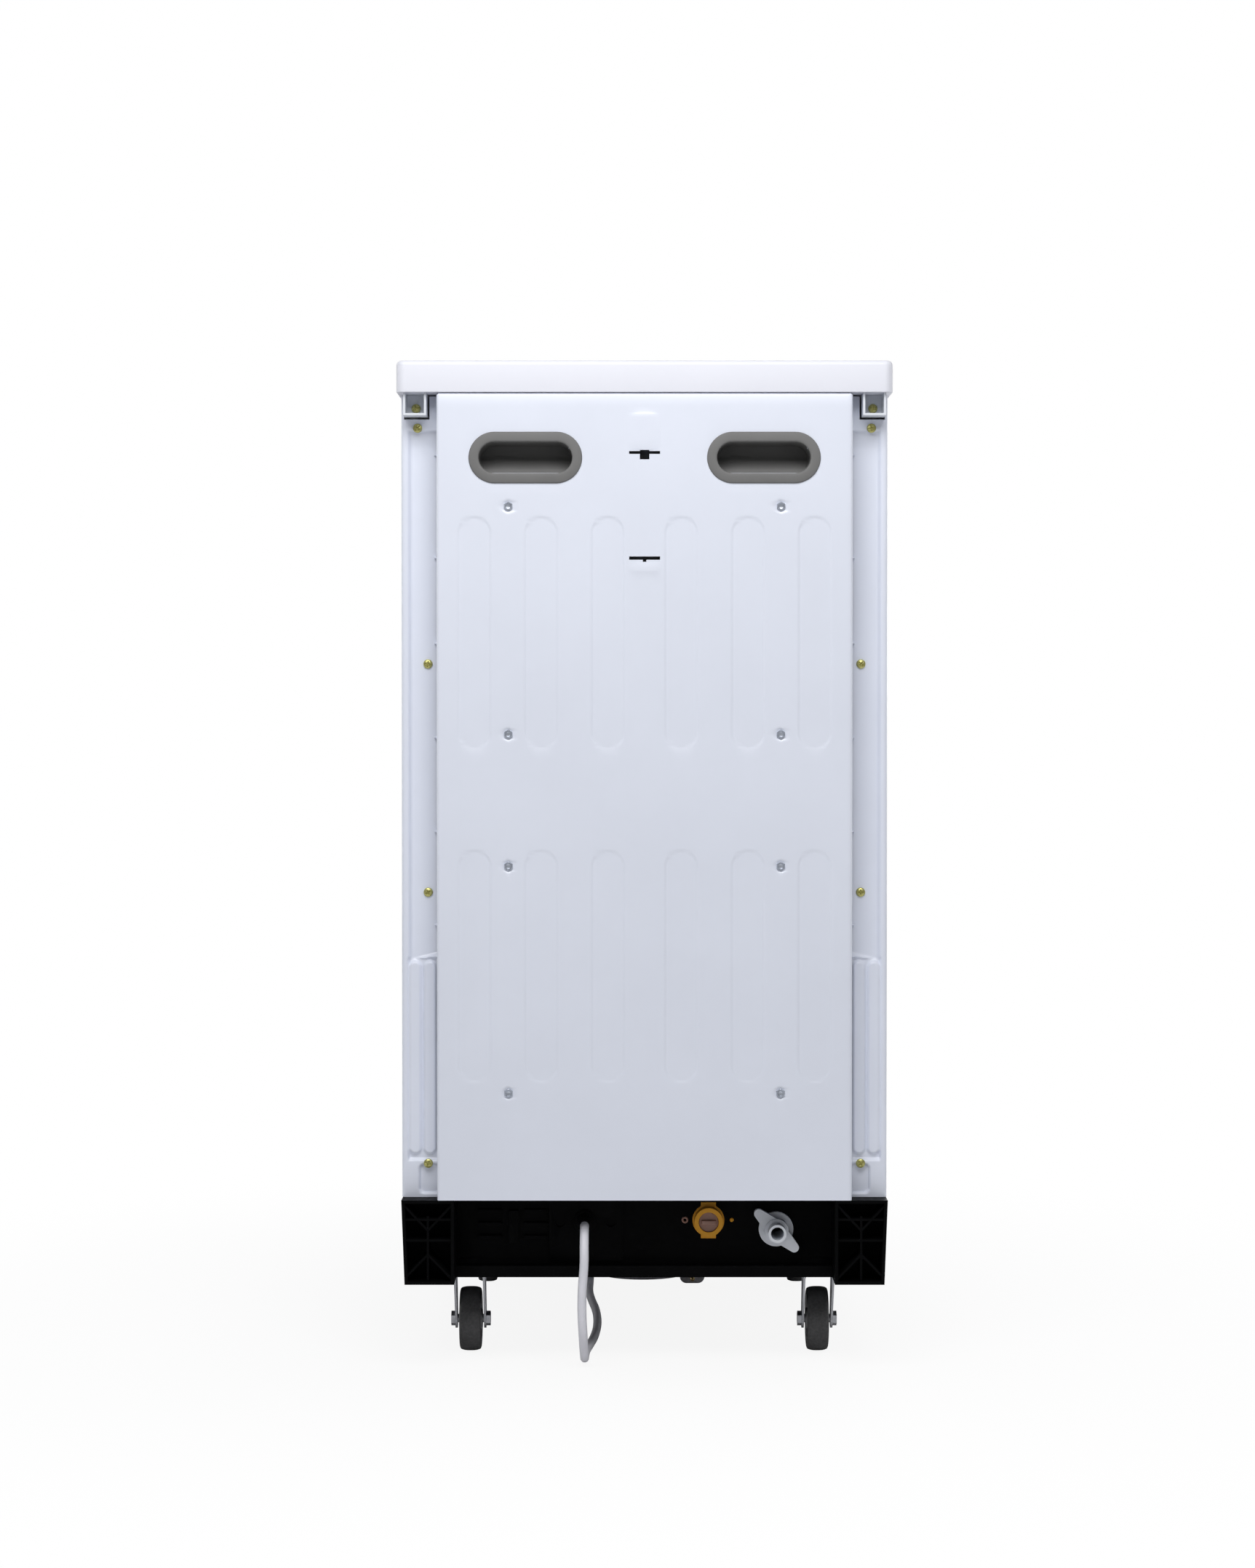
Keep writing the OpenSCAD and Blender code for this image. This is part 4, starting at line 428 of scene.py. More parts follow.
def spread_to(tree, value, low, high):
    """A noise value spread evenly from low to high."""
    ends = {"From Min": 0.28, "From Max": 0.72, "To Min": low, "To Max": high, "Value": value}
    return new_node(tree, "MapRange", ends).outputs["Result"]


def mixed(tree, factor, a, b):
    """Colour a going to colour b with the factor; a colour is a triple or another node's output."""
    a, b = (c if isinstance(c, bpy.types.NodeSocket) else (*c, 1) for c in (a, b))
    return new_node(tree, "Mix", {0: factor, 6: a, 7: b}, data_type="RGBA").outputs[2]


def material(name):
    """The named finish: patches in its colour and roughness, fine grain in its relief."""
    mat = bpy.data.materials.get(name)
    if mat:
        return mat
    f = FINISHES[name]
    mat = bpy.data.materials.new(name)
    tree, shader, coords = nodes_of(mat)
    colour = f["colour"]
    if isinstance(colour, str):
        colour = tuple(getattr(bpy.context.scene.dishwasher_colours, colour))
    size, strength = f["patch"]
    patches = noise(tree, coords, size, 4, 0.37)
    other = f.get("tint") or tuple(c * (1 - strength) for c in colour)
    base = mixed(tree, spread_to(tree, patches, 0, 1), tuple(min(c * (1 + strength / 3), 1) for c in colour), other)
    if f.get("dust"):
        specks = noise(tree, coords, DUST_SIZE, 6, 1.3)
        base = mixed(tree, spread_to(tree, specks, 0, f["dust"]), base, DUST_COLOUR)
    tree.links.new(base, shader.inputs["Base Color"])
    stretch = f.get("brush", (1, 1, 1))
    gloss = noise(tree, coords, 6 if "brush" not in f else 1.2, 3, 2.1, stretch)
    rough, half = f["rough"], f["spread"] / 2
    tree.links.new(spread_to(tree, gloss, rough - half, rough + half), shader.inputs["Roughness"])
    shader.inputs["Metallic"].default_value = f.get("metallic", 0)
    shader.inputs["Specular IOR Level"].default_value = f.get("specular", 0.5)
    shader.inputs["Coat Weight"].default_value = f.get("coat", 0)
    shader.inputs["Coat Roughness"].default_value = COAT_ROUGHNESS
    grain_size, depth = f["grain"]
    grain = noise(tree, coords, grain_size, 3, 4.2, stretch)
    relief = {"Distance": depth * MM * GRAIN_HEIGHT, "Strength": GRAIN_STRENGTH, "Height": grain}
    tree.links.new(new_node(tree, "Bump", relief).outputs[0], shader.inputs["Normal"])
    mat.diffuse_color = (*colour, 1)
    return mat


# ------------------------------------------------------------ stage, light and camera


FLOOR_COLOUR, FLOOR_ROUGHNESS = (0.9, 0.9, 0.905, 1), 0.75
FADE_FROM, FADE_TO, FADE_LEAST = 0.2, 1.1, 0.9
AMBIENT_COLOUR = (0.985, 0.99, 1, 1)
# Each lamp: name, where it hangs, the point it looks at, width, height, share of the overhead lamp's power
LAMPS = (
    ("overhead", (0.1, 1.35, 1.75), (0, 0.3, 0.55), 1.6, 0.9, 1),
    ("door_side", (-0.9, -2.5, 1.15), (0, -0.2, 0.4), 1.5, 1.3, 1.15),
    ("beside", (-2.3, -0.9, 0.85), (0, -0.2, 0.4), 1.4, 1.2, 0.5),
    ("beside", (2.3, -0.9, 0.85), (0, -0.2, 0.4), 1.4, 1.2, 0.5),
)


def camera_ray(tree):
    return new_node(tree, "LightPath", {}).outputs["Is Camera Ray"]


def stage_floor():
    """A wide disc whose pale surface fades to the backdrop's white away from the machine, for the camera alone."""
    n = 96
    a = np.arange(n) * TAU / n
    radii = np.array([0.02, 1.2, 3.0, 9.0, 40.0])
    rings = np.stack([radii[:, None] * np.cos(a), radii[:, None] * np.sin(a), np.zeros((len(radii), n))], -1)
    points, faces = shell(rings, True, False)
    mesh = bpy.data.meshes.new("floor")
    mesh.from_pydata(points.tolist(), [], faces)
    floor = bpy.data.objects.new("floor", mesh)
    bpy.context.scene.collection.objects.link(floor)
    mat = bpy.data.materials.new("pale_floor")
    tree, shader, coords = nodes_of(mat)
    shader.inputs["Base Color"].default_value = FLOOR_COLOUR
    shader.inputs["Roughness"].default_value = FLOOR_ROUGHNESS
    away = new_node(tree, "VectorMath", {0: coords.outputs["Object"]}, operation="LENGTH").outputs["Value"]
    ends = {"From Min": FADE_FROM, "From Max": FADE_TO, "To Min": FADE_LEAST, "Value": away}
    fade = new_node(tree, "MapRange", ends, interpolation_type="SMOOTHSTEP").outputs["Result"]
    seen = new_node(tree, "Math", {0: camera_ray(tree), 1: fade}, operation="MULTIPLY").outputs[0]
    glow = new_node(tree, "Emission", {}).outputs[0]
    mix = new_node(tree, "MixShader", {0: seen, 1: shader.outputs[0], 2: glow})
    out = next(x for x in tree.nodes if x.type == "OUTPUT_MATERIAL")
    tree.links.new(mix.outputs[0], out.inputs[0])
    mesh.materials.append(mat)


def stage_world(settings):
    """White behind everything for the camera, soft pale light for the rest."""
    world = bpy.data.worlds.new("studio")
    bpy.context.scene.world = world
    world.use_nodes = True
    tree = world.node_tree
    tree.nodes.clear()
    seen = new_node(tree, "Background", {"Color": (1, 1, 1, 1)}).outputs[0]
    light = new_node(tree, "Background", {"Color": AMBIENT_COLOUR, "Strength": settings.ambient}).outputs[0]
    mix = new_node(tree, "MixShader", {0: camera_ray(tree), 1: light, 2: seen})
    new_node(tree, "OutputWorld", {0: mix.outputs[0]})


def soft_box(name, at, aim, width, height, power):
    """A rectangular lamp that looks at a point."""
    lamp = bpy.data.lights.new(name, "AREA")
    lamp.shape = "RECTANGLE"
    lamp.size, lamp.size_y = width, height
    lamp.energy = power
    obj = bpy.data.objects.new(name, lamp)
    bpy.context.scene.collection.objects.link(obj)
    from_to = np.array(aim, float) - np.array(at, float)
    yaw = np.arctan2(from_to[0], from_to[1])
    pitch = np.arctan2(from_to[2], np.hypot(from_to[0], from_to[1]))
    obj.location = at
    obj.rotation_euler = (np.pi / 2 + pitch, 0, -yaw)


class StageSettings(bpy.types.PropertyGroup):
    """Light and camera."""

    ambient: FloatProperty(name="Ambient", description="Strength of the light from all round", default=0.2, min=0)
    key: FloatProperty(name="Overhead lamp", description="Its power", default=24, min=0, unit="POWER")
    lens: FloatProperty(name="Lens", description="Focal length of the camera, in mm", default=75.9, min=10, max=300)
    camera_back: length_prop("Camera distance", "From the rear panel to the camera", 3.0)
    camera_height: length_prop("Camera height", "Height of the camera above the floor", 0.5975)
    camera_side: length_prop("Camera offset", "How far the camera stands to the machine's right", 0.0155)
    camera_tilt: FloatProperty(
        name="Camera tilt", description="How far the camera looks down", default=radians(1.17), subtype="ANGLE"
    )


class DISHWASHER_OT_stage(bpy.types.Operator):
    """Sets out the floor, the light and the camera behind the machine"""

    bl_idname = "dishwasher.stage"
    bl_label = "Stage"

    def execute(self, context):
        settings = context.scene.dishwasher_stage
        context.scene.view_settings.view_transform = "Standard"
        stage_floor()
        stage_world(settings)
        for *lamp, share in LAMPS:
            soft_box(*lamp, settings.key * share)
        cam = bpy.data.objects.new("camera", bpy.data.cameras.new("camera"))
        context.scene.collection.objects.link(cam)
        cam.data.lens = settings.lens
        cam.data.sensor_width = 36
        cam.data.clip_start, cam.data.clip_end = 0.05, 100
        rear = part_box("rear_panel")[1][1]
        cam.location = (settings.camera_side, rear + settings.camera_back, settings.camera_height)
        cam.rotation_euler = (np.pi / 2 - settings.camera_tilt, 0, np.pi)
        context.scene.camera = cam
        return {"FINISHED"}


# ------------------------------------------------------------ the mains cord

# The free stretch: out of the gland, down to the floor and forward under the machine. In mm.
CORD_ROUTE = [
    (55, 258, 130), (55, 266, 129.4), (55, 274, 127), (55, 281, 122.6), (55, 286.6, 116.6), (55, 290.6, 109.2),
    (55, 292.6, 101), (55.5, 293, 91), (56.5, 293, 79), (57, 293, 66), (57, 293, 54), (56.6, 292.4, 43),
    (56, 289.8, 32.4), (55.6, 284.8, 22.6), (55.2, 277.4, 14.4), (55, 268.2, 8.6), (55, 258, 5.6), (55, 247, 5.1),
    (54, 220, 5.1), (51, 190, 5.1), (48, 160, 5.1), (46, 128, 5.1), (45, 96, 5.1), (45, 64, 5.1), (46, 30, 5.1),
    (48, -4, 5.1), (51, -38, 5.1), (53.6, -74, 5.1), (55, -110, 5.1), (55, -150, 5.1), (55, -190, 5.1),
    (55, -231.8, 5.1),
]  # fmt: skip
COIL_MIDDLE = np.array([1.2, -240.0])
COIL_STEP, COIL_OUT, COIL_IN, COIL_LOOPS, COIL_TURNS, CORD_LEVEL = 8.8, 53.8, 36.2, 2, 4.5, 5.1
RINGS_A_TURN = 40


def coil_line():
    """The coil: its radius shrinks by a step a turn, climbs a layer over half a turn at the inside, and grows again."""
    turn = np.arange(int(COIL_TURNS * RINGS_A_TURN) + 1) / RINGS_A_TURN
    radius = np.where(
        turn <= COIL_LOOPS + 0.25,
        COIL_OUT - COIL_STEP * turn,
        np.where(
            turn <= COIL_LOOPS + 0.5,
            COIL_IN - COIL_STEP * (COIL_LOOPS + 0.5 - turn),
            COIL_IN + COIL_STEP * (turn - COIL_LOOPS - 0.5),
        ),
    )
    level = CORD_LEVEL + COIL_STEP * np.clip((turn - COIL_LOOPS) / 0.5, 0, 1)
    a = -TAU * turn
    return np.column_stack([COIL_MIDDLE[0] + radius * np.cos(a), COIL_MIDDLE[1] + radius * np.sin(a), level])


PLUG_BACK = 37.5


def plug_shape(at):
    """The moulded plug: a round neck that swells into a body with round corners, ribbed where it is gripped."""
    body = rounded_outline(26, 2 * at[2] - 0.6, 7)
    a = np.arctan2(body[:, 1], body[:, 0])
    neck = np.stack([np.cos(a), np.sin(a)], -1)
    t = np.array([0, 2, 5, 8, 11, 13.5, 15.2, 16.0])
    share = step(t, 13.0, 6.5)[:, None, None]
    ring = neck * (5.1 + 2.9 * t[:, None, None] / 16) * (1 - share) + inset(body, 1.2) * share
    grooves = [(y + dy, inward) for y in (20, 24, 28) for dy, inward in ((-1, 0), (0, 0.7), (1, 0))]
    more = [(16.6, 0.4), (17.4, 0), *grooves, (36, 0), (37.2, 0.35), (37.8, 1.0), (38, 1.9), (38, 3.5)]
    rings = [np.column_stack([r, np.full(len(r), w)]) for r, w in zip(ring, t)]
    rings += [np.column_stack([inset(body, d), np.full(len(body), w)]) for w, d in more]
    points, faces = shell(np.stack(rings))
    return facing(points, "+y", at), faces


def blade(x, z, y0, wide, high, length):
    """One flat blade with a chamfered tip."""
    ring = np.array([(-1, -1), (1, -1), (1, 1), (-1, 1)]) * [wide / 2, high / 2]
    rings = [np.column_stack([ring * s, np.full(4, w)]) for s, w in ((1, 0), (1, length - 1.5), (0.55, length))]
    points, faces = shell(np.stack(rings))
    return facing(points, "+y", (x, y0, z)), faces


class DISHWASHER_OT_cord(bpy.types.Operator):
    """Lays the mains cord along its route and coils what the view doesn't show, with its tie and plug"""

    bl_idname = "dishwasher.cord"
    bl_label = "Mains cord"

    def execute(self, context):
        sizes = context.scene.dishwasher_sizes
        route = np.concatenate([spline(CORD_ROUTE, 4)[:-1], [CORD_ROUTE[-1]], coil_line(), [(-52.6, -212, 13.9)]])
        cord = piece(
            "mains_cord", tube(route, sizes.cord_diameter / MM / 2, 14), "cabinet", "sheath",
            ("power_cord", "cord_coil"), weld=0,
        )  # fmt: skip
        tip = route[-1]
        body = piece("plug_body", plug_shape(tip), "cabinet", "sheath", ("power_plug",))
        face = tip[1] + PLUG_BACK
        pins = [blade(tip[0] + s * 6.4, tip[2] + 3, face, 1.5, 6.3, 17.4) for s in (-1, 1)]
        pins.append(revolve([(2.4, 0), (2.4, 17.5), (1.9, 19.4), (0.9, 20.4)], "+y", (tip[0], face, tip[2] - 6), 20))
        pins = piece("plug_blades", gather(pins), "cabinet", "brass", ("power_plug",), ease=0.0001)
        tie = eased("cord_tie", "base_plastic", 0.00015)
        # the gland's plate, nut and tapered relief, ribbed towards the cord
        low, high = mm("cord_gland")
        at = ((low[0] + high[0]) / 2, low[1], (low[2] + high[2]) / 2)
        relief = [(8, low[1]), (8, 246), (11, 246), (11, 247.6), (10.4, 248), (8.2, 248.1)]
        for i in range(5):
            y, r = 250 + i * 3.2, 7.9 - i * 0.55
            relief += [(r, y - 1.6), (r, y), (r - 0.9, y + 0.3), (r - 0.9, y + 1.2)]
        relief += [(5.3, 266), (5.0, 266.6), (4.2, 266.8)]
        shape = revolve(np.array(relief) - [0, low[1]], "+y", at, 40)
        piece("cable_gland", shape, "cabinet", "base_plastic", ("cord_gland",))
        return {"FINISHED"}


# ------------------------------------------------------------ worktop


class DISHWASHER_OT_worktop(bpy.types.Operator):
    """Makes the worktop, with its soft upper edge, and its plastic brackets"""

    bl_idname = "dishwasher.worktop"
    bl_label = "Worktop"

    def execute(self, context):
        sizes = context.scene.dishwasher_sizes
        low, high = mm("worktop")
        outline = rounded_outline(*(high - low)[:2], sizes.corner_round / MM, 10)
        rings = eased_slab(outline, low[2], high[2], 0.8, sizes.edge_round / MM, 6)
        piece("worktop_board", shell(rings), "cabinet", "laminate", ("worktop",))
        eased("worktop_brackets", "pale_plastic", sizes.mould_ease, sharp=30)
        return {"FINISHED"}


# ------------------------------------------------------------ sheet metal


SHEET = 1.2


def pressed_sheet(name, across, up, spot, holes, node):
    """An enamelled sheet over grid lines across and up: spot(u, v) gives its points, holes(u, v) what is cut out."""
    u, v = np.meshgrid(across, up)
    points = spot(u, v).reshape(-1, 3)
    quads = grid_quads(len(up), len(across))
    middle = np.stack([u.ravel()[quads].mean(1), v.ravel()[quads].mean(1)])
    quads = quads[~holes(*middle)]
    used, index = np.unique(quads, return_inverse=True)
    mesh = bpy.data.meshes.new(name)
    mesh.from_pydata((points[used] * MM).tolist(), [], index.reshape(-1, 4).tolist())
    mesh.shade_smooth()
    mesh.set_sharp_from_angle(angle=radians(50))
    sharpen_rims(mesh)
    obj = place(name, mesh, "cabinet", "enamel", (node,))
    thicken = obj.modifiers.new("sheet", "SOLIDIFY")
    thicken.thickness = SHEET * MM
    thicken.offset = -1
    thicken.use_even_offset = False


# The rear panel's fields and screws, in mm
FIELD_X, FIELD_Z = [s * (33.3 + i * 60.5) for s in (-1, 1) for i in range(3)], (673.0, 370.5)
FIELD_PLACES = [(x, z) for x in FIELD_X for z in FIELD_Z]
FIELD_W, FIELD_H, FIELD_DEPTH = 29.5, 211.0, 0.75
SCREW_X, DIMPLE_DEPTH = 123.6, 1.4
SCREW_Z = [889.5 - d for d in (101.6, 308.2, 428, 634.6)]
SCREW_PLACES = [(s * SCREW_X, z) for s in (-1, 1) for z in SCREW_Z]
# Its two slots below the upper fold, each with a wider notch, and the pressings beside them: (width, height) and middle
SLOT_HALF, SLOT_HI, SLOT_LO = 14, 53, 148.5
TAB_FIELD, TAB_UP, TAB_DEPTH = (22.6, 33, 3), 19, 0.5
LOUVRE, LOUVRE_DOWN, LOUVRE_DEPTH = (27, 9, 3.5), 8, 1.1
GRIP_X, GRIP_DOWN, GRIP_W, GRIP_H = 108, 57.5, 103, 46.6


class DISHWASHER_OT_rear_panel(bpy.types.Operator):
    """Presses the rear panel: folded sides, long fields, screw dimples, two slots and the seats of the grips"""

    bl_idname = "dishwasher.rear_panel"
    bl_label = "Rear panel"

    def execute(self, context):
        sizes = context.scene.dishwasher_sizes
        low, high = mm("rear_panel")
        half, top, deep, bend = high[0], high[2], high[1] - low[1], 1.4
        slot_hi, slot_lo = top - SLOT_HI, top - SLOT_LO
        soft = sizes.field_soft / MM
        arc = bend * np.pi / 2
        edge_u = half - bend
        marks_x = [x + e * FIELD_W / 2 for x in FIELD_X for e in (-1, 1)] + [-SCREW_X, SCREW_X]
        flat_x = grown_lines(-edge_u, edge_u, 3.6, 1.0, marks_x, 3.0)
        slot_ends = [-SLOT_HALF, -4.3, -1.6, 1.6, 4.3, SLOT_HALF]
        flat_x = merged_lines(flat_x, np.array([-edge_u, *slot_ends, edge_u]))
        turn = np.linspace(0, arc, 4)[1:]
        back = arc + np.array([0.5, 4, deep - bend])
        fold = np.append(turn, back)
        across = np.concatenate([-edge_u - fold[::-1], flat_x, edge_u + fold])
        marks_z = [z + e * (FIELD_H / 2 - 7) for z in FIELD_Z for e in (-1, 1)] + SCREW_Z
        flat_z = grown_lines(low[2], top - bend, 10.0, 1.1, marks_z, 8.2)
        exact = [[low[2], top - bend],
                 slot_hi + np.array([-6.2, -1.3, 1.3, 2.6]), slot_lo + np.array([-3.5, -1.5, 1.5]),
                 slot_hi + TAB_UP + np.array([-17.5, -16.5, -15.5, 15.5, 16.5, 17.5]),
                 slot_lo - LOUVRE_DOWN + np.array([-5, -4, -3, 0, 3, 4, 5])]  # fmt: skip
        flat_z = merged_lines(flat_z, np.concatenate(exact), 0.3)
        up = np.append(flat_z, top - bend + np.append(turn, arc + np.array([0.5, 10 - bend])))

        def along(s, edge):
            """A coordinate over a fold: straight, then an arc of radius bend, then square back, as (along, in)."""
            over = np.clip(np.abs(s) - edge, 0, None)
            angle = np.clip(over / bend, 0, np.pi / 2)
            out = np.minimum(np.abs(s), edge) + bend * np.sin(angle)
            return np.sign(s) * out, bend * (1 - np.cos(angle)) + np.clip(over - arc, 0, None)

        def spot(u, v):
            x, in_x = along(u, edge_u)
            z, in_z = along(v, top - bend)
            depth = np.zeros_like(x)
            for fx, fz in FIELD_PLACES:
                d = obround_distance(x - fx, z - fz, FIELD_W, FIELD_H)
                depth += FIELD_DEPTH * (1 - step(d, 0, soft))
            for sx, sz in SCREW_PLACES:
                depth += DIMPLE_DEPTH * (1 - step(np.hypot(x - sx, z - sz), 5.6, 1.9))
            depth -= TAB_DEPTH * (1 - step(box_distance(x, z - slot_hi - TAB_UP, *TAB_FIELD), 0, 2.0))
            louvre = 1 - step(box_distance(x, z - slot_lo + LOUVRE_DOWN, *LOUVRE), 0, 2.2)
            depth -= louvre * LOUVRE_DEPTH * np.clip((slot_lo - 3.5 - z) / 9, 0, 1)
            for s in (-1, 1):
                ring = obround_distance(z - (top - GRIP_DOWN), x - s * GRIP_X, GRIP_H, GRIP_W)
                depth += 0.45 * (1 - step(ring, 1.3, 1.6))
            flat = 1 - step(np.maximum(in_x, in_z), 0.2, 0.3)
            return np.stack([x, high[1] - in_x - in_z - np.clip(depth, -0.5, 2) * flat, z], -1)

        def holes(u, v):
            out = (np.abs(u) > edge_u + arc * 0.4) & (v > top - bend + arc * 0.4)
            out |= (np.abs(u) < SLOT_HALF) & (np.abs(v - slot_hi) < 1.3)
            out |= (np.abs(u) < 4.3) & (v < slot_hi + 2.6) & (v > slot_hi - 6.2)
            out |= (np.abs(u) < SLOT_HALF) & (np.abs(v - slot_lo) < 1.5)
            out |= (np.abs(u) < 1.6) & (v < slot_lo) & (v > slot_lo - 3.5)
            for s in (-1, 1):
                out |= obround_distance(v - (top - GRIP_DOWN), u - s * GRIP_X, GRIP_H - 12.1, GRIP_W - 12) < 0
            return out

        pressed_sheet("rear_panel_sheet", across, up, spot, holes, "rear_panel")
        return {"FINISHED"}


# Both side sheets, in mm: the flat side, rounded over into the pressed rear flange
FLANGE_STEP, FLANGE_INNER, CHANNEL_FOOT, RIB_W, FOLD_INNER = 4.0, 187.4, 380.0, 10.0, 212
POCKET_UP, POCKET_H = 17, 26
NOTCH_X, NOTCH_DEEP = (196.5, 219.5), 21
TAB_DROPS = (53.2, 147.0, 225.0, 311.4, 397.2, 482.6)


def side_sheet(name, node, sign):
    """One side panel. u runs along the front fold, the side, the rear edge's arc and the flange; v is the height."""
    low, high = mm(node)
    outer, rear = max(abs(low[0]), abs(high[0])), high[1]
    front, foot, top = low[1], low[2], high[2]
    inner, bend = FLANGE_INNER, 2.6
    arc = bend * np.pi / 2
    depth = rear - front - 2 * bend
    fold = outer - FOLD_INNER
    flange = outer - inner - bend
    # u = 0 where the front fold's arc begins
    turn = np.linspace(0, arc, 5)
    side_u = np.append(arc, np.arange(arc + 30, arc + depth - 10, 46.0))
    back0 = arc + depth
    pads = np.linspace(back0 + arc, back0 + arc + flange, 30)
    across = np.unique(np.round(np.concatenate([[-fold + bend, -1], turn, side_u, [back0], back0 + turn, pads]), 4))
    ribs_top, ribs_foot, x1 = CHANNEL_FOOT - 7, foot + 40, outer - 8
    pocket_z = foot + POCKET_UP
    marks = [CHANNEL_FOOT, ribs_top - 4, ribs_foot + 4, top - 32, pocket_z - POCKET_H / 2, pocket_z + POCKET_H / 2]
    up = grown_lines(foot, top, 14, 1.2, marks, 8)

    def place_on(u):
        """The section's own (x, y): a fold at the front, the side, the rear arc and the flange."""
        a = np.clip(u / bend, 0, np.pi / 2)
        b = np.clip((u - back0) / bend, 0, np.pi / 2)
        x = outer - bend + bend * np.sin(a) + np.minimum(u, 0)
        y = front + bend - bend * np.cos(a) + np.clip(u - arc, 0, depth)
        x = x - bend * (1 - np.cos(b)) - np.clip(u - back0 - arc, 0, None)
        y = y + bend * np.sin(b)
        return x, y

    def spot(u, v):
        x, y = place_on(u)
        on_flange = step(u, back0 + arc + 0.6, 1.2)
        # the long channel with its slanting foot
        d = np.maximum(x - x1 - 1, (CHANNEL_FOOT - (x - inner) * 0.25) - v)
        d = np.maximum(d, v - (top - 32))
        channel = 1 - step(d, -0.4, 4.2)
        # the ground beside the two raised ribs
        low_ground = np.maximum.reduce([x - x1 - 2.5, ribs_foot - 6 - v, v - ribs_top - 4])
        ground = 1 - step(low_ground, -0.5, 2.4)
        for i in (0, 1):
            cx = x1 + 1 - RIB_W / 2 - i * (RIB_W + 3.5)
            d = obround_distance(x - cx, v - (ribs_top + ribs_foot) / 2, RIB_W, ribs_top - ribs_foot)
            ground *= step(d, 0.4, 2.6)
        d = box_distance(x - (inner + x1 - 8) / 2, v - pocket_z, x1 - inner - 8, POCKET_H, 4)
        pocket = 1 - step(d, 0, 2.0)
        sunk = np.maximum.reduce([channel, ground * 0.8, pocket * 0.8]) * on_flange
        return np.stack([sign * x, y - FLANGE_STEP * sunk, v], -1)

    def holes(u, v):
        x = place_on(u)[0]
        return (x > NOTCH_X[0]) & (x < NOTCH_X[1]) & (v > top - NOTCH_DEEP) & (u > back0 + arc)

    pressed_sheet(name, across[::sign], up, spot, holes, node)
    # the folds at head and foot, and the lanced tabs beside the rear panel
    parts = []
    edge = outer - 1.3
    for z, short in ((foot, 8), (top - SHEET, 36)):
        ring = np.array([(FOLD_INNER, front + 1), (edge, front + 1), (edge, rear - short), (FOLD_INNER, rear - short)])
        rings = [np.column_stack([sign * ring[:, 0], ring[:, 1], np.full(4, z + dz)]) for dz in (0, SHEET)]
        parts.append(shell(np.stack(rings)))
    tri = np.array([(-2, -2.6), (2.6, -0.3), (2.6, 0.3), (-2, 2.6)])
    for drop in TAB_DROPS:
        z = top - drop
        ground = rear - FLANGE_STEP - 0.4
        rings = [np.column_stack([sign * (inner + 2.2 + tri[:, 0] * s), np.full(4, ground + dy), z + tri[:, 1] * s])
                 for s, dy in ((1, 0), (1, 2.6), (0.45, 4.2))]  # fmt: skip
        parts.append(shell(np.stack(rings)))
    piece(name + "_folds", gather(parts), "cabinet", "enamel", (node,))


class DISHWASHER_OT_sides(bpy.types.Operator):
    """Presses both side panels with their rear flanges"""

    bl_idname = "dishwasher.sides"
    bl_label = "Side panels"

    def execute(self, context):
        side_sheet("side_sheet_left", "side_panel_left", -1)
        side_sheet("side_sheet_right", "side_panel_right", 1)
        return {"FINISHED"}


# ------------------------------------------------------------ grips and screws


def obround_line(w, h, n):
    """Points round a lying obround of width w and height h, anticlockwise from its right end's foot."""
    a = np.linspace(-np.pi / 2, np.pi / 2, n)
    end = np.stack([np.cos(a), np.sin(a)], -1) * h / 2
    return np.concatenate([end + [(w - h) / 2, 0], -end - [(w - h) / 2, 0]])


GRIP_RIM, LIP_DEPTH, SCOOP_DEPTH, SCOOP_WALL = 9.1, 5.0, 25.5, 2.0


def scoop_depth(y, open_h):
    """Depth of the scooped floor: shallow at the lower lip, deepest from 0.62 of the opening's height upwards."""
    rise = np.clip((y + open_h / 2) / open_h, 0, 1)
    return LIP_DEPTH + SCOOP_DEPTH * (1 - (1 - np.clip(rise / 0.62, 0, 1)) ** 1.7)


def at_depth(line, w):
    return np.column_stack([line, np.broadcast_to(w, len(line))])


def scoop(at):
    """A grip: rings of one obround outline run over the rim, down its wall and along the scooped floor."""
    half_w, half_h = GRIP_W / 2, GRIP_H / 2
    open_w, open_h = GRIP_W - 2 * GRIP_RIM, GRIP_H - 2 * GRIP_RIM
    n = 26
    rim = [(0, 0.0), (0, 1.6), (0.4, 2.5), (1.2, 3.0), (6.5, 3.0), (7.9, 3.0), (8.6, 2.7), (9.1, 2.0), (9.2, 1.0)]
    rings = [at_depth(obround_line(2 * (half_w - d), 2 * (half_h - d), n), w) for d, w in rim]
    wall = obround_line(open_w, open_h, n)
    floor_depth = scoop_depth(wall[:, 1], open_h)
    for t in (0.12, 0.3, 0.5, 0.7, 0.85, 0.95, 1.0):
        rings.append(at_depth(inset(wall, 1.4 * t**3), 1.0 - (floor_depth + 1) * t))
    for share in (0.93, 0.8, 0.62, 0.42, 0.22, 0.06):
        line = wall * [1 - (1 - share) * 0.4, share]
        rings.append(at_depth(line, -scoop_depth(line[:, 1], open_h)))
    # the back: the same outline offset outwards, so that the moulding is a closed shell
    outer, floor = inset(wall, -SCOOP_WALL), wall * [0.8, 0.6]
    back = [at_depth(floor, -scoop_depth(floor[:, 1], open_h) - 2.2)]
    back += [at_depth(outer, -(floor_depth + 2.2) * t) for t in (1.0, 0.75, 0.4, 0)]
    points, faces = shell(np.stack(back + rings))
    return facing(points, "+y", at), faces


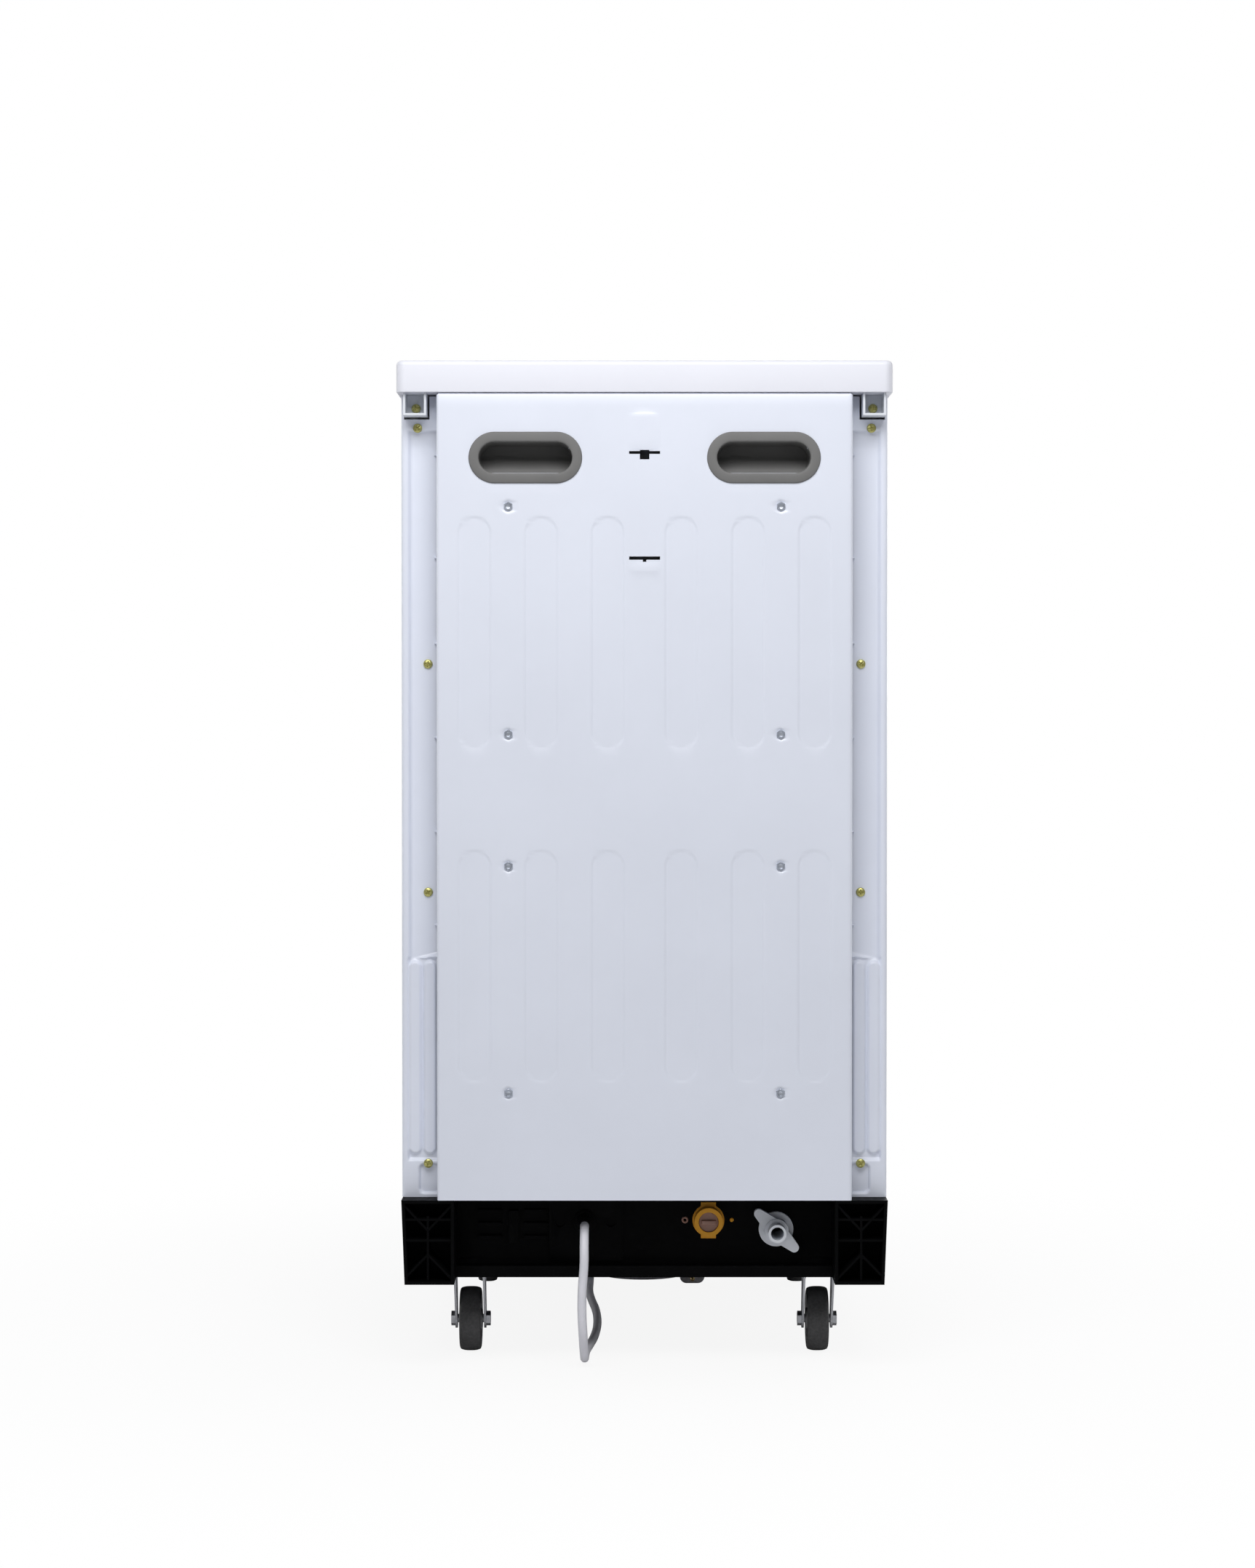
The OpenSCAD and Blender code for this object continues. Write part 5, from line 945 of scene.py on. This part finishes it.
def hex_head(at):
    """A hexagon-headed screw with a washer face, a chamfered crown and a dished middle."""
    k = 36
    a = np.arange(k) * TAU / k
    hexed = 4.3 * np.cos(np.pi / 6) / np.cos((a + np.pi / 6) % (np.pi / 3) - np.pi / 6)
    washer = [(2, -0.2), (5.4, 0), (5.4, 0.5), (5.0, 0.8), (2, 0.8)]
    parts = [revolve([(1.9, -7), (1.9, -0.2)], "+y", at, 16), revolve(washer, "+y", at, k)]
    rows = [(hexed, 0.7), (hexed, 2.1), (np.minimum(hexed, 4.05), 2.6), (3.6, 2.9), (2.7, 2.9), (2.2, 2.2), (1.2, 1.9)]
    rings = np.stack([np.column_stack([r * np.cos(a), r * np.sin(a), np.full(k, w)]) for r, w in rows])
    points, faces = shell(rings)
    parts.append((facing(points, "+y", at), faces))
    return parts


def cross_head(at, turn):
    """A pan head: its crown's height falls off as a quarter ellipse, and a cross is pressed into it."""
    r = 4.2
    rho = np.array([0.02, 0.12, 0.2, 0.28, 0.36, 0.46, 0.56, 0.68, 0.8, 0.9, 0.96, 1.0])
    k = 48
    a = np.arange(k) * TAU / k
    rr, aa = np.meshgrid(rho * r, a, indexing="ij")
    crown = 0.7 + 1.9 * np.sqrt(np.clip(1 - (rr / (r * 1.02)) ** 2, 0, 1))
    x, z = rr * np.cos(aa), rr * np.sin(aa)
    cx, cz = x * np.cos(turn) - z * np.sin(turn), x * np.sin(turn) + z * np.cos(turn)
    cx, cz, half, reach = np.abs(cx), np.abs(cz), 0.42, 0.6 * r
    arm = np.minimum(np.maximum(cx - half, cz - reach), np.maximum(cz - half, cx - reach))
    sunk = (1 - step(arm, 0, 0.35)) * 1.3 * (1 - rr / r * 0.7)
    rings = np.stack([x, z, crown - sunk], -1)[::-1]
    skirt = np.stack([np.column_stack([r * np.cos(a), r * np.sin(a), np.full(k, w)]) for w in (0.0, 0.35)])
    points, faces = shell(np.concatenate([skirt, rings]))
    return [(facing(points, "+y", at), faces), revolve([(1.7, -6), (1.7, -0.1)], "+y", at, 12)]


# Cross-headed screws of the right side, mirrored on the left, and the two marks beside the inlet, in mm
INLET_RING_X, INLET_PIN_X, RECESS_Y, INLET_Z = -37.7, -81.0, 242, 131
BODY_SCREWS = [(207, 274, 860.5), (198, 270, 645.5), (198, 270, 436.5), (198, 274, 188), (208.5, 271, 878.5)]


class DISHWASHER_OT_grips(bpy.types.Operator):
    """Moulds the two finger grips and sets the screws of the cabinet"""

    bl_idname = "dishwasher.grips"
    bl_label = "Grips and screws"

    def execute(self, context):
        for node in ("grip_left", "grip_right"):
            low, high = mm(node)
            at = ((low[0] + high[0]) / 2, high[1] - 3, (low[2] + high[2]) / 2)
            piece(node + "_moulding", scoop(at), "cabinet", "grip_plastic", (node,), sharp=50)
        face = mm("rear_panel")[1][1] - DIMPLE_DEPTH
        parts = sum([hex_head((x, face, z)) for x, z in SCREW_PLACES], [])
        piece("panel_screws", gather(parts), "cabinet", "zinc", ("rear_panel_screws",), sharp=30)
        parts = []
        for i, (x, y, z) in enumerate(BODY_SCREWS):
            for s in (-1, 1):
                parts += cross_head((s * x, y, z), 0.3 + 0.9 * i + 0.5 * s)
        piece("cabinet_screws", gather(parts), "cabinet", "yellow_zinc", ("body_screws",), sharp=40)
        ring = [(1.3, -1.5), (1.3, 0.7), (1.7, 1.3), (2.5, 1.3), (3.1, 0.7), (3.1, -1.5)]
        ring = revolve(ring, "+y", (INLET_RING_X, RECESS_Y, INLET_Z), 28)
        piece("inlet_ring", ring, "cabinet", "cap_rubber", (), sharp=40)
        pin = [(1.9, -1.5), (1.9, 0.6), (1.5, 1.1), (0.7, 1.35)]
        pin = revolve(pin, "+y", (INLET_PIN_X, RECESS_Y, INLET_Z), 24)
        piece("inlet_pin", pin, "cabinet", "orange_plastic", (), sharp=40)
        return {"FINISHED"}


# ------------------------------------------------------------ base and casters


class DISHWASHER_OT_base(bpy.types.Operator):
    """Softens the black base moulding and fits what stands on it"""

    bl_idname = "dishwasher.base"
    bl_label = "Base"

    def execute(self, context):
        sizes = context.scene.dishwasher_sizes
        eased("base", "base_plastic", sizes.mould_ease * 0.6)
        keep("works_plastic", "sump", "circulation_pump", "drain_pump")
        keep("stainless", "sump_filter")
        keep("cast", "counterweight")
        keep("hot_tube", "heater")
        return {"FINISHED"}


def wheel_shape(node):
    """A caster wheel's two closed sections, revolved: the hub with its web and rim, and the tyre, whose tread falls
    off from the middle as 1.3 |t|^3."""
    low, high = mm(node)
    mid, r, h = (low + high) / 2, (high[2] - low[2]) / 2, (high[0] - low[0]) / 2
    bore, sides = 4.3, 56
    tread = np.linspace(-1, 1, 11)
    crown = [(r - 1.3 * abs(t) ** 3, t * (h - 2.2)) for t in tread]
    web = [(bore, -h), (9.2, -h), (9.8, -h + 0.6), (10, -h + 5), (12, -h + 5.6), (r - 10.5, -h + 5.6)]
    rim = [(r - 9.3, -h + 4.6), (r - 8.9, -h + 1.9), (r - 8.3, -h + 1.4), (r - 7.4, -h + 1.4), (r - 7.1, -h + 1.8)]
    hub = web + rim
    tyre = [(r - 7.2, -h + 1.9), (r - 7.0, -h + 1.2), (r - 6.4, -h + 1.0), (r - 3.4, -h + 1.0), (r - 2.0, -h + 1.5)]
    sections = (hub + [(q, -w) for q, w in hub[::-1]], tyre + crown + [(q, -w) for q, w in tyre[::-1]])
    return [closed_ring(revolve(section, "+x", mid, sides, (False, False)), sides) for section in sections]


def closed_ring(mesh, sides):
    """Joins the last ring of a revolved section to its first, which makes the shell a ring."""
    points, faces = mesh
    ring, last = np.arange(sides), len(points) - sides
    faces += [[int(last + i), int(last + (i + 1) % sides), int((i + 1) % sides), int(i)] for i in ring]
    return points, faces


class DISHWASHER_OT_casters(bpy.types.Operator):
    """Turns the four wheels and softens their forks and plates"""

    bl_idname = "dishwasher.casters"
    bl_label = "Casters"

    def execute(self, context):
        sizes = context.scene.dishwasher_sizes
        for tag in ("fl", "fr", "rl", "rr"):
            body, node = "wheel_" + tag, "caster_wheel_" + tag
            hub, tyre = wheel_shape(node)
            piece("wheel_hub_" + tag, hub, body, "hub_plastic", (node,), sharp=40)
            piece("wheel_tyre_" + tag, tyre, body, "tyre", (node,), sharp=40)
            eased("caster_fork_" + tag, "galvanised", sizes.metal_ease)
        eased("caster_plates", "galvanised", sizes.metal_ease)
        return {"FINISHED"}


# ------------------------------------------------------------ water connections


class DISHWASHER_OT_connections(bpy.types.Operator):
    """Dresses the orange inlet with its cap, and the drain with its wing nut"""

    bl_idname = "dishwasher.connections"
    bl_label = "Water connections"

    def execute(self, context):
        rows = (("inlet_valve", "orange_plastic", 1), ("inlet_cap", "cap_rubber", 1),
                ("drain_outlet", "pale_plastic", 1), ("drain_wing_nut", "pale_plastic", 1.5))  # fmt: skip
        eased_nodes(context.scene.dishwasher_sizes.mould_ease, rows)
        return {"FINISHED"}


# ------------------------------------------------------------ tub, racks and spray arms


class DISHWASHER_OT_tub(bpy.types.Operator):
    """Finishes the steel tub, its seal, rails, pipes and spray arms"""

    bl_idname = "dishwasher.tub"
    bl_label = "Tub"

    def execute(self, context):
        sizes = context.scene.dishwasher_sizes
        eased("tub", "stainless", sizes.metal_ease)
        eased("tub_gasket", "seal", sizes.mould_ease)
        eased("rack_rails", "stainless", sizes.metal_ease)
        for node in ("feed_pipe", "rack_manifold", "lower_spray_arm", "upper_spray_arm"):
            eased(node, "rack_plastic", sizes.mould_ease)
        keep("rack_plastic", "lower_rack_rollers")
        keep("roller_plastic", "upper_rack_rollers")
        return {"FINISHED"}


# Both racks, in mm: radii of wire and tine, rise of the long wires over the hoops, the bends and the frame
WIRE, TINE, LIFT, BEND = 2.0, 1.6, 3.4, 9.0
RACK_HALF, RACK_FRONT, RACK_BACK, HOOPS, LONGS = 182.5, -208.5, 221.5, 10, 7
# Each rack: node, floor, height, where its tine rows run across, on which hoops, their height and lean
RACKS = (
    ("lower_rack", 191.5, 120, (-112, -52, 8, 68, 128), slice(3, 9), 62, 9),
    ("upper_rack", 532.5, 105, (-150, -96, 88, 142), slice(1, 9), 46, 8),
)


def wire_frame(z0, h, sides):
    """A welded frame: each hoop and each long wire is a U bent from one wire, under two closed rims."""
    a, b, c, d = -RACK_HALF, RACK_HALF, RACK_FRONT, RACK_BACK
    top, low = z0 + h, z0 + LIFT
    hoops = np.linspace(c, d, HOOPS)
    parts = []
    for y in hoops:
        parts.append(tube(bent([(a, y, top), (a, y, z0), (b, y, z0), (b, y, top)], BEND), WIRE, sides))
    for x in np.linspace(a, b, LONGS + 2)[1:-1]:
        parts.append(tube(bent([(x, c, top), (x, c, low), (x, d, low), (x, d, top)], BEND), WIRE, sides))
    for z in (z0 + h / 2, top):
        line = bent([(0, c, z), (b, c, z), (b, d, z), (a, d, z), (a, c, z), (0, c, z)], BEND)
        parts.append(tube(line, WIRE, sides, False))
    return parts, hoops


def tine_rows(xs, hoops, z0, h, lean, sides):
    """Leaning tines with rounded tips: along each, the radius follows a quarter circle over the last wire's width."""
    t = np.array([0, 0.5, 0.94, 0.972, 0.988, 1.0])
    r = TINE * np.array([1, 1, 1, 0.86, 0.62, 0.22])
    ends = [(np.array([x, y, z0]), np.array([x + lean, y, z0 + h + TINE])) for x in xs for y in hoops]
    return [tube(a + (b - a) * t[:, None], r, sides) for a, b in ends]


class DISHWASHER_OT_racks(bpy.types.Operator):
    """Welds both wire racks and finishes the cutlery basket"""

    bl_idname = "dishwasher.racks"
    bl_label = "Racks"

    def execute(self, context):
        sizes = context.scene.dishwasher_sizes
        sides = sizes.wire_sides
        for node, z0, h, rows, places, tine_h, lean in RACKS:
            parts, hoops = wire_frame(z0, h, sides)
            parts += tine_rows(rows, hoops[places], z0, tine_h, lean, sides)
            shape = gather(parts)
            piece(node + "_wires", shape, body_of_node(node), "nylon_wire", (node,), weld=0)
        eased("cutlery_basket", "rack_plastic", sizes.mould_ease * 0.5)
        return {"FINISHED"}


# ------------------------------------------------------------ door


class DISHWASHER_OT_door(bpy.types.Operator):
    """Dresses the door: outer skin, liner, control panel, keys, latch and dispenser"""

    bl_idname = "dishwasher.door"
    bl_label = "Door"

    def execute(self, context):
        sizes = context.scene.dishwasher_sizes
        eased_nodes(sizes.metal_ease, (("door_outer", "enamel", 1), ("door_liner", "stainless", 1)))
        eased("control_panel", "panel_gloss", sizes.mould_ease)
        eased("display_window", "display_glass", sizes.metal_ease)
        keys = [(key + "_button", "key_silver", 0.5) for key in ("power", "programme", "start")]
        eased_nodes(sizes.mould_ease, [("door_latch", "works_plastic", 0.5), *keys])
        eased_nodes(sizes.metal_ease, (("door_hinge_arms", "galvanised", 1), ("hinge_brackets", "galvanised", 1)))
        rows = (("detergent_dispenser", "dispenser_grey", 1), ("detergent_lid", "dispenser_grey", 0.6),
                ("rinse_cap", "rinse_blue", 0.6))  # fmt: skip
        eased_nodes(sizes.mould_ease, rows)
        return {"FINISHED"}


# ------------------------------------------------------------ the add-on


OPERATORS = (
    DISHWASHER_OT_stage,
    DISHWASHER_OT_cord,
    DISHWASHER_OT_worktop,
    DISHWASHER_OT_rear_panel,
    DISHWASHER_OT_sides,
    DISHWASHER_OT_grips,
    DISHWASHER_OT_base,
    DISHWASHER_OT_casters,
    DISHWASHER_OT_connections,
    DISHWASHER_OT_tub,
    DISHWASHER_OT_racks,
    DISHWASHER_OT_door,
)
PROPERTY_GROUPS = (DishwasherSizes, DishwasherColours, StageSettings)


class DISHWASHER_PT_panel(bpy.types.Panel):
    """The sizes, colours and pieces of the dishwasher"""

    bl_idname = "DISHWASHER_PT_panel"
    bl_label = "Portable dishwasher"
    bl_space_type = "VIEW_3D"
    bl_region_type = "UI"
    bl_category = "Dishwasher"

    def draw(self, context):
        layout = self.layout
        groups = (
            ("Sizes", context.scene.dishwasher_sizes),
            ("Colours", context.scene.dishwasher_colours),
            ("Stage", context.scene.dishwasher_stage),
        )
        for label, group in groups:
            box = layout.box()
            box.label(text=label)
            for name in group.__annotations__:
                box.prop(group, name)
        column = layout.column(align=True)
        for operator in OPERATORS:
            column.operator(operator.bl_idname)


def register():
    for cls in (*PROPERTY_GROUPS, *OPERATORS, DISHWASHER_PT_panel):
        bpy.utils.register_class(cls)
    bpy.types.Scene.dishwasher_sizes = PointerProperty(type=DishwasherSizes)
    bpy.types.Scene.dishwasher_colours = PointerProperty(type=DishwasherColours)
    bpy.types.Scene.dishwasher_stage = PointerProperty(type=StageSettings)


def unregister():
    del bpy.types.Scene.dishwasher_stage
    del bpy.types.Scene.dishwasher_colours
    del bpy.types.Scene.dishwasher_sizes
    for cls in reversed((*PROPERTY_GROUPS, *OPERATORS, DISHWASHER_PT_panel)):
        bpy.utils.unregister_class(cls)


def main():
    register()
    bpy.ops.dishwasher.stage()
    bpy.ops.dishwasher.cord()
    bpy.ops.dishwasher.worktop()
    bpy.ops.dishwasher.rear_panel()
    bpy.ops.dishwasher.sides()
    bpy.ops.dishwasher.grips()
    bpy.ops.dishwasher.base()
    bpy.ops.dishwasher.casters()
    bpy.ops.dishwasher.connections()
    bpy.ops.dishwasher.tub()
    bpy.ops.dishwasher.racks()
    bpy.ops.dishwasher.door()


if __name__ == "__main__":
    main()
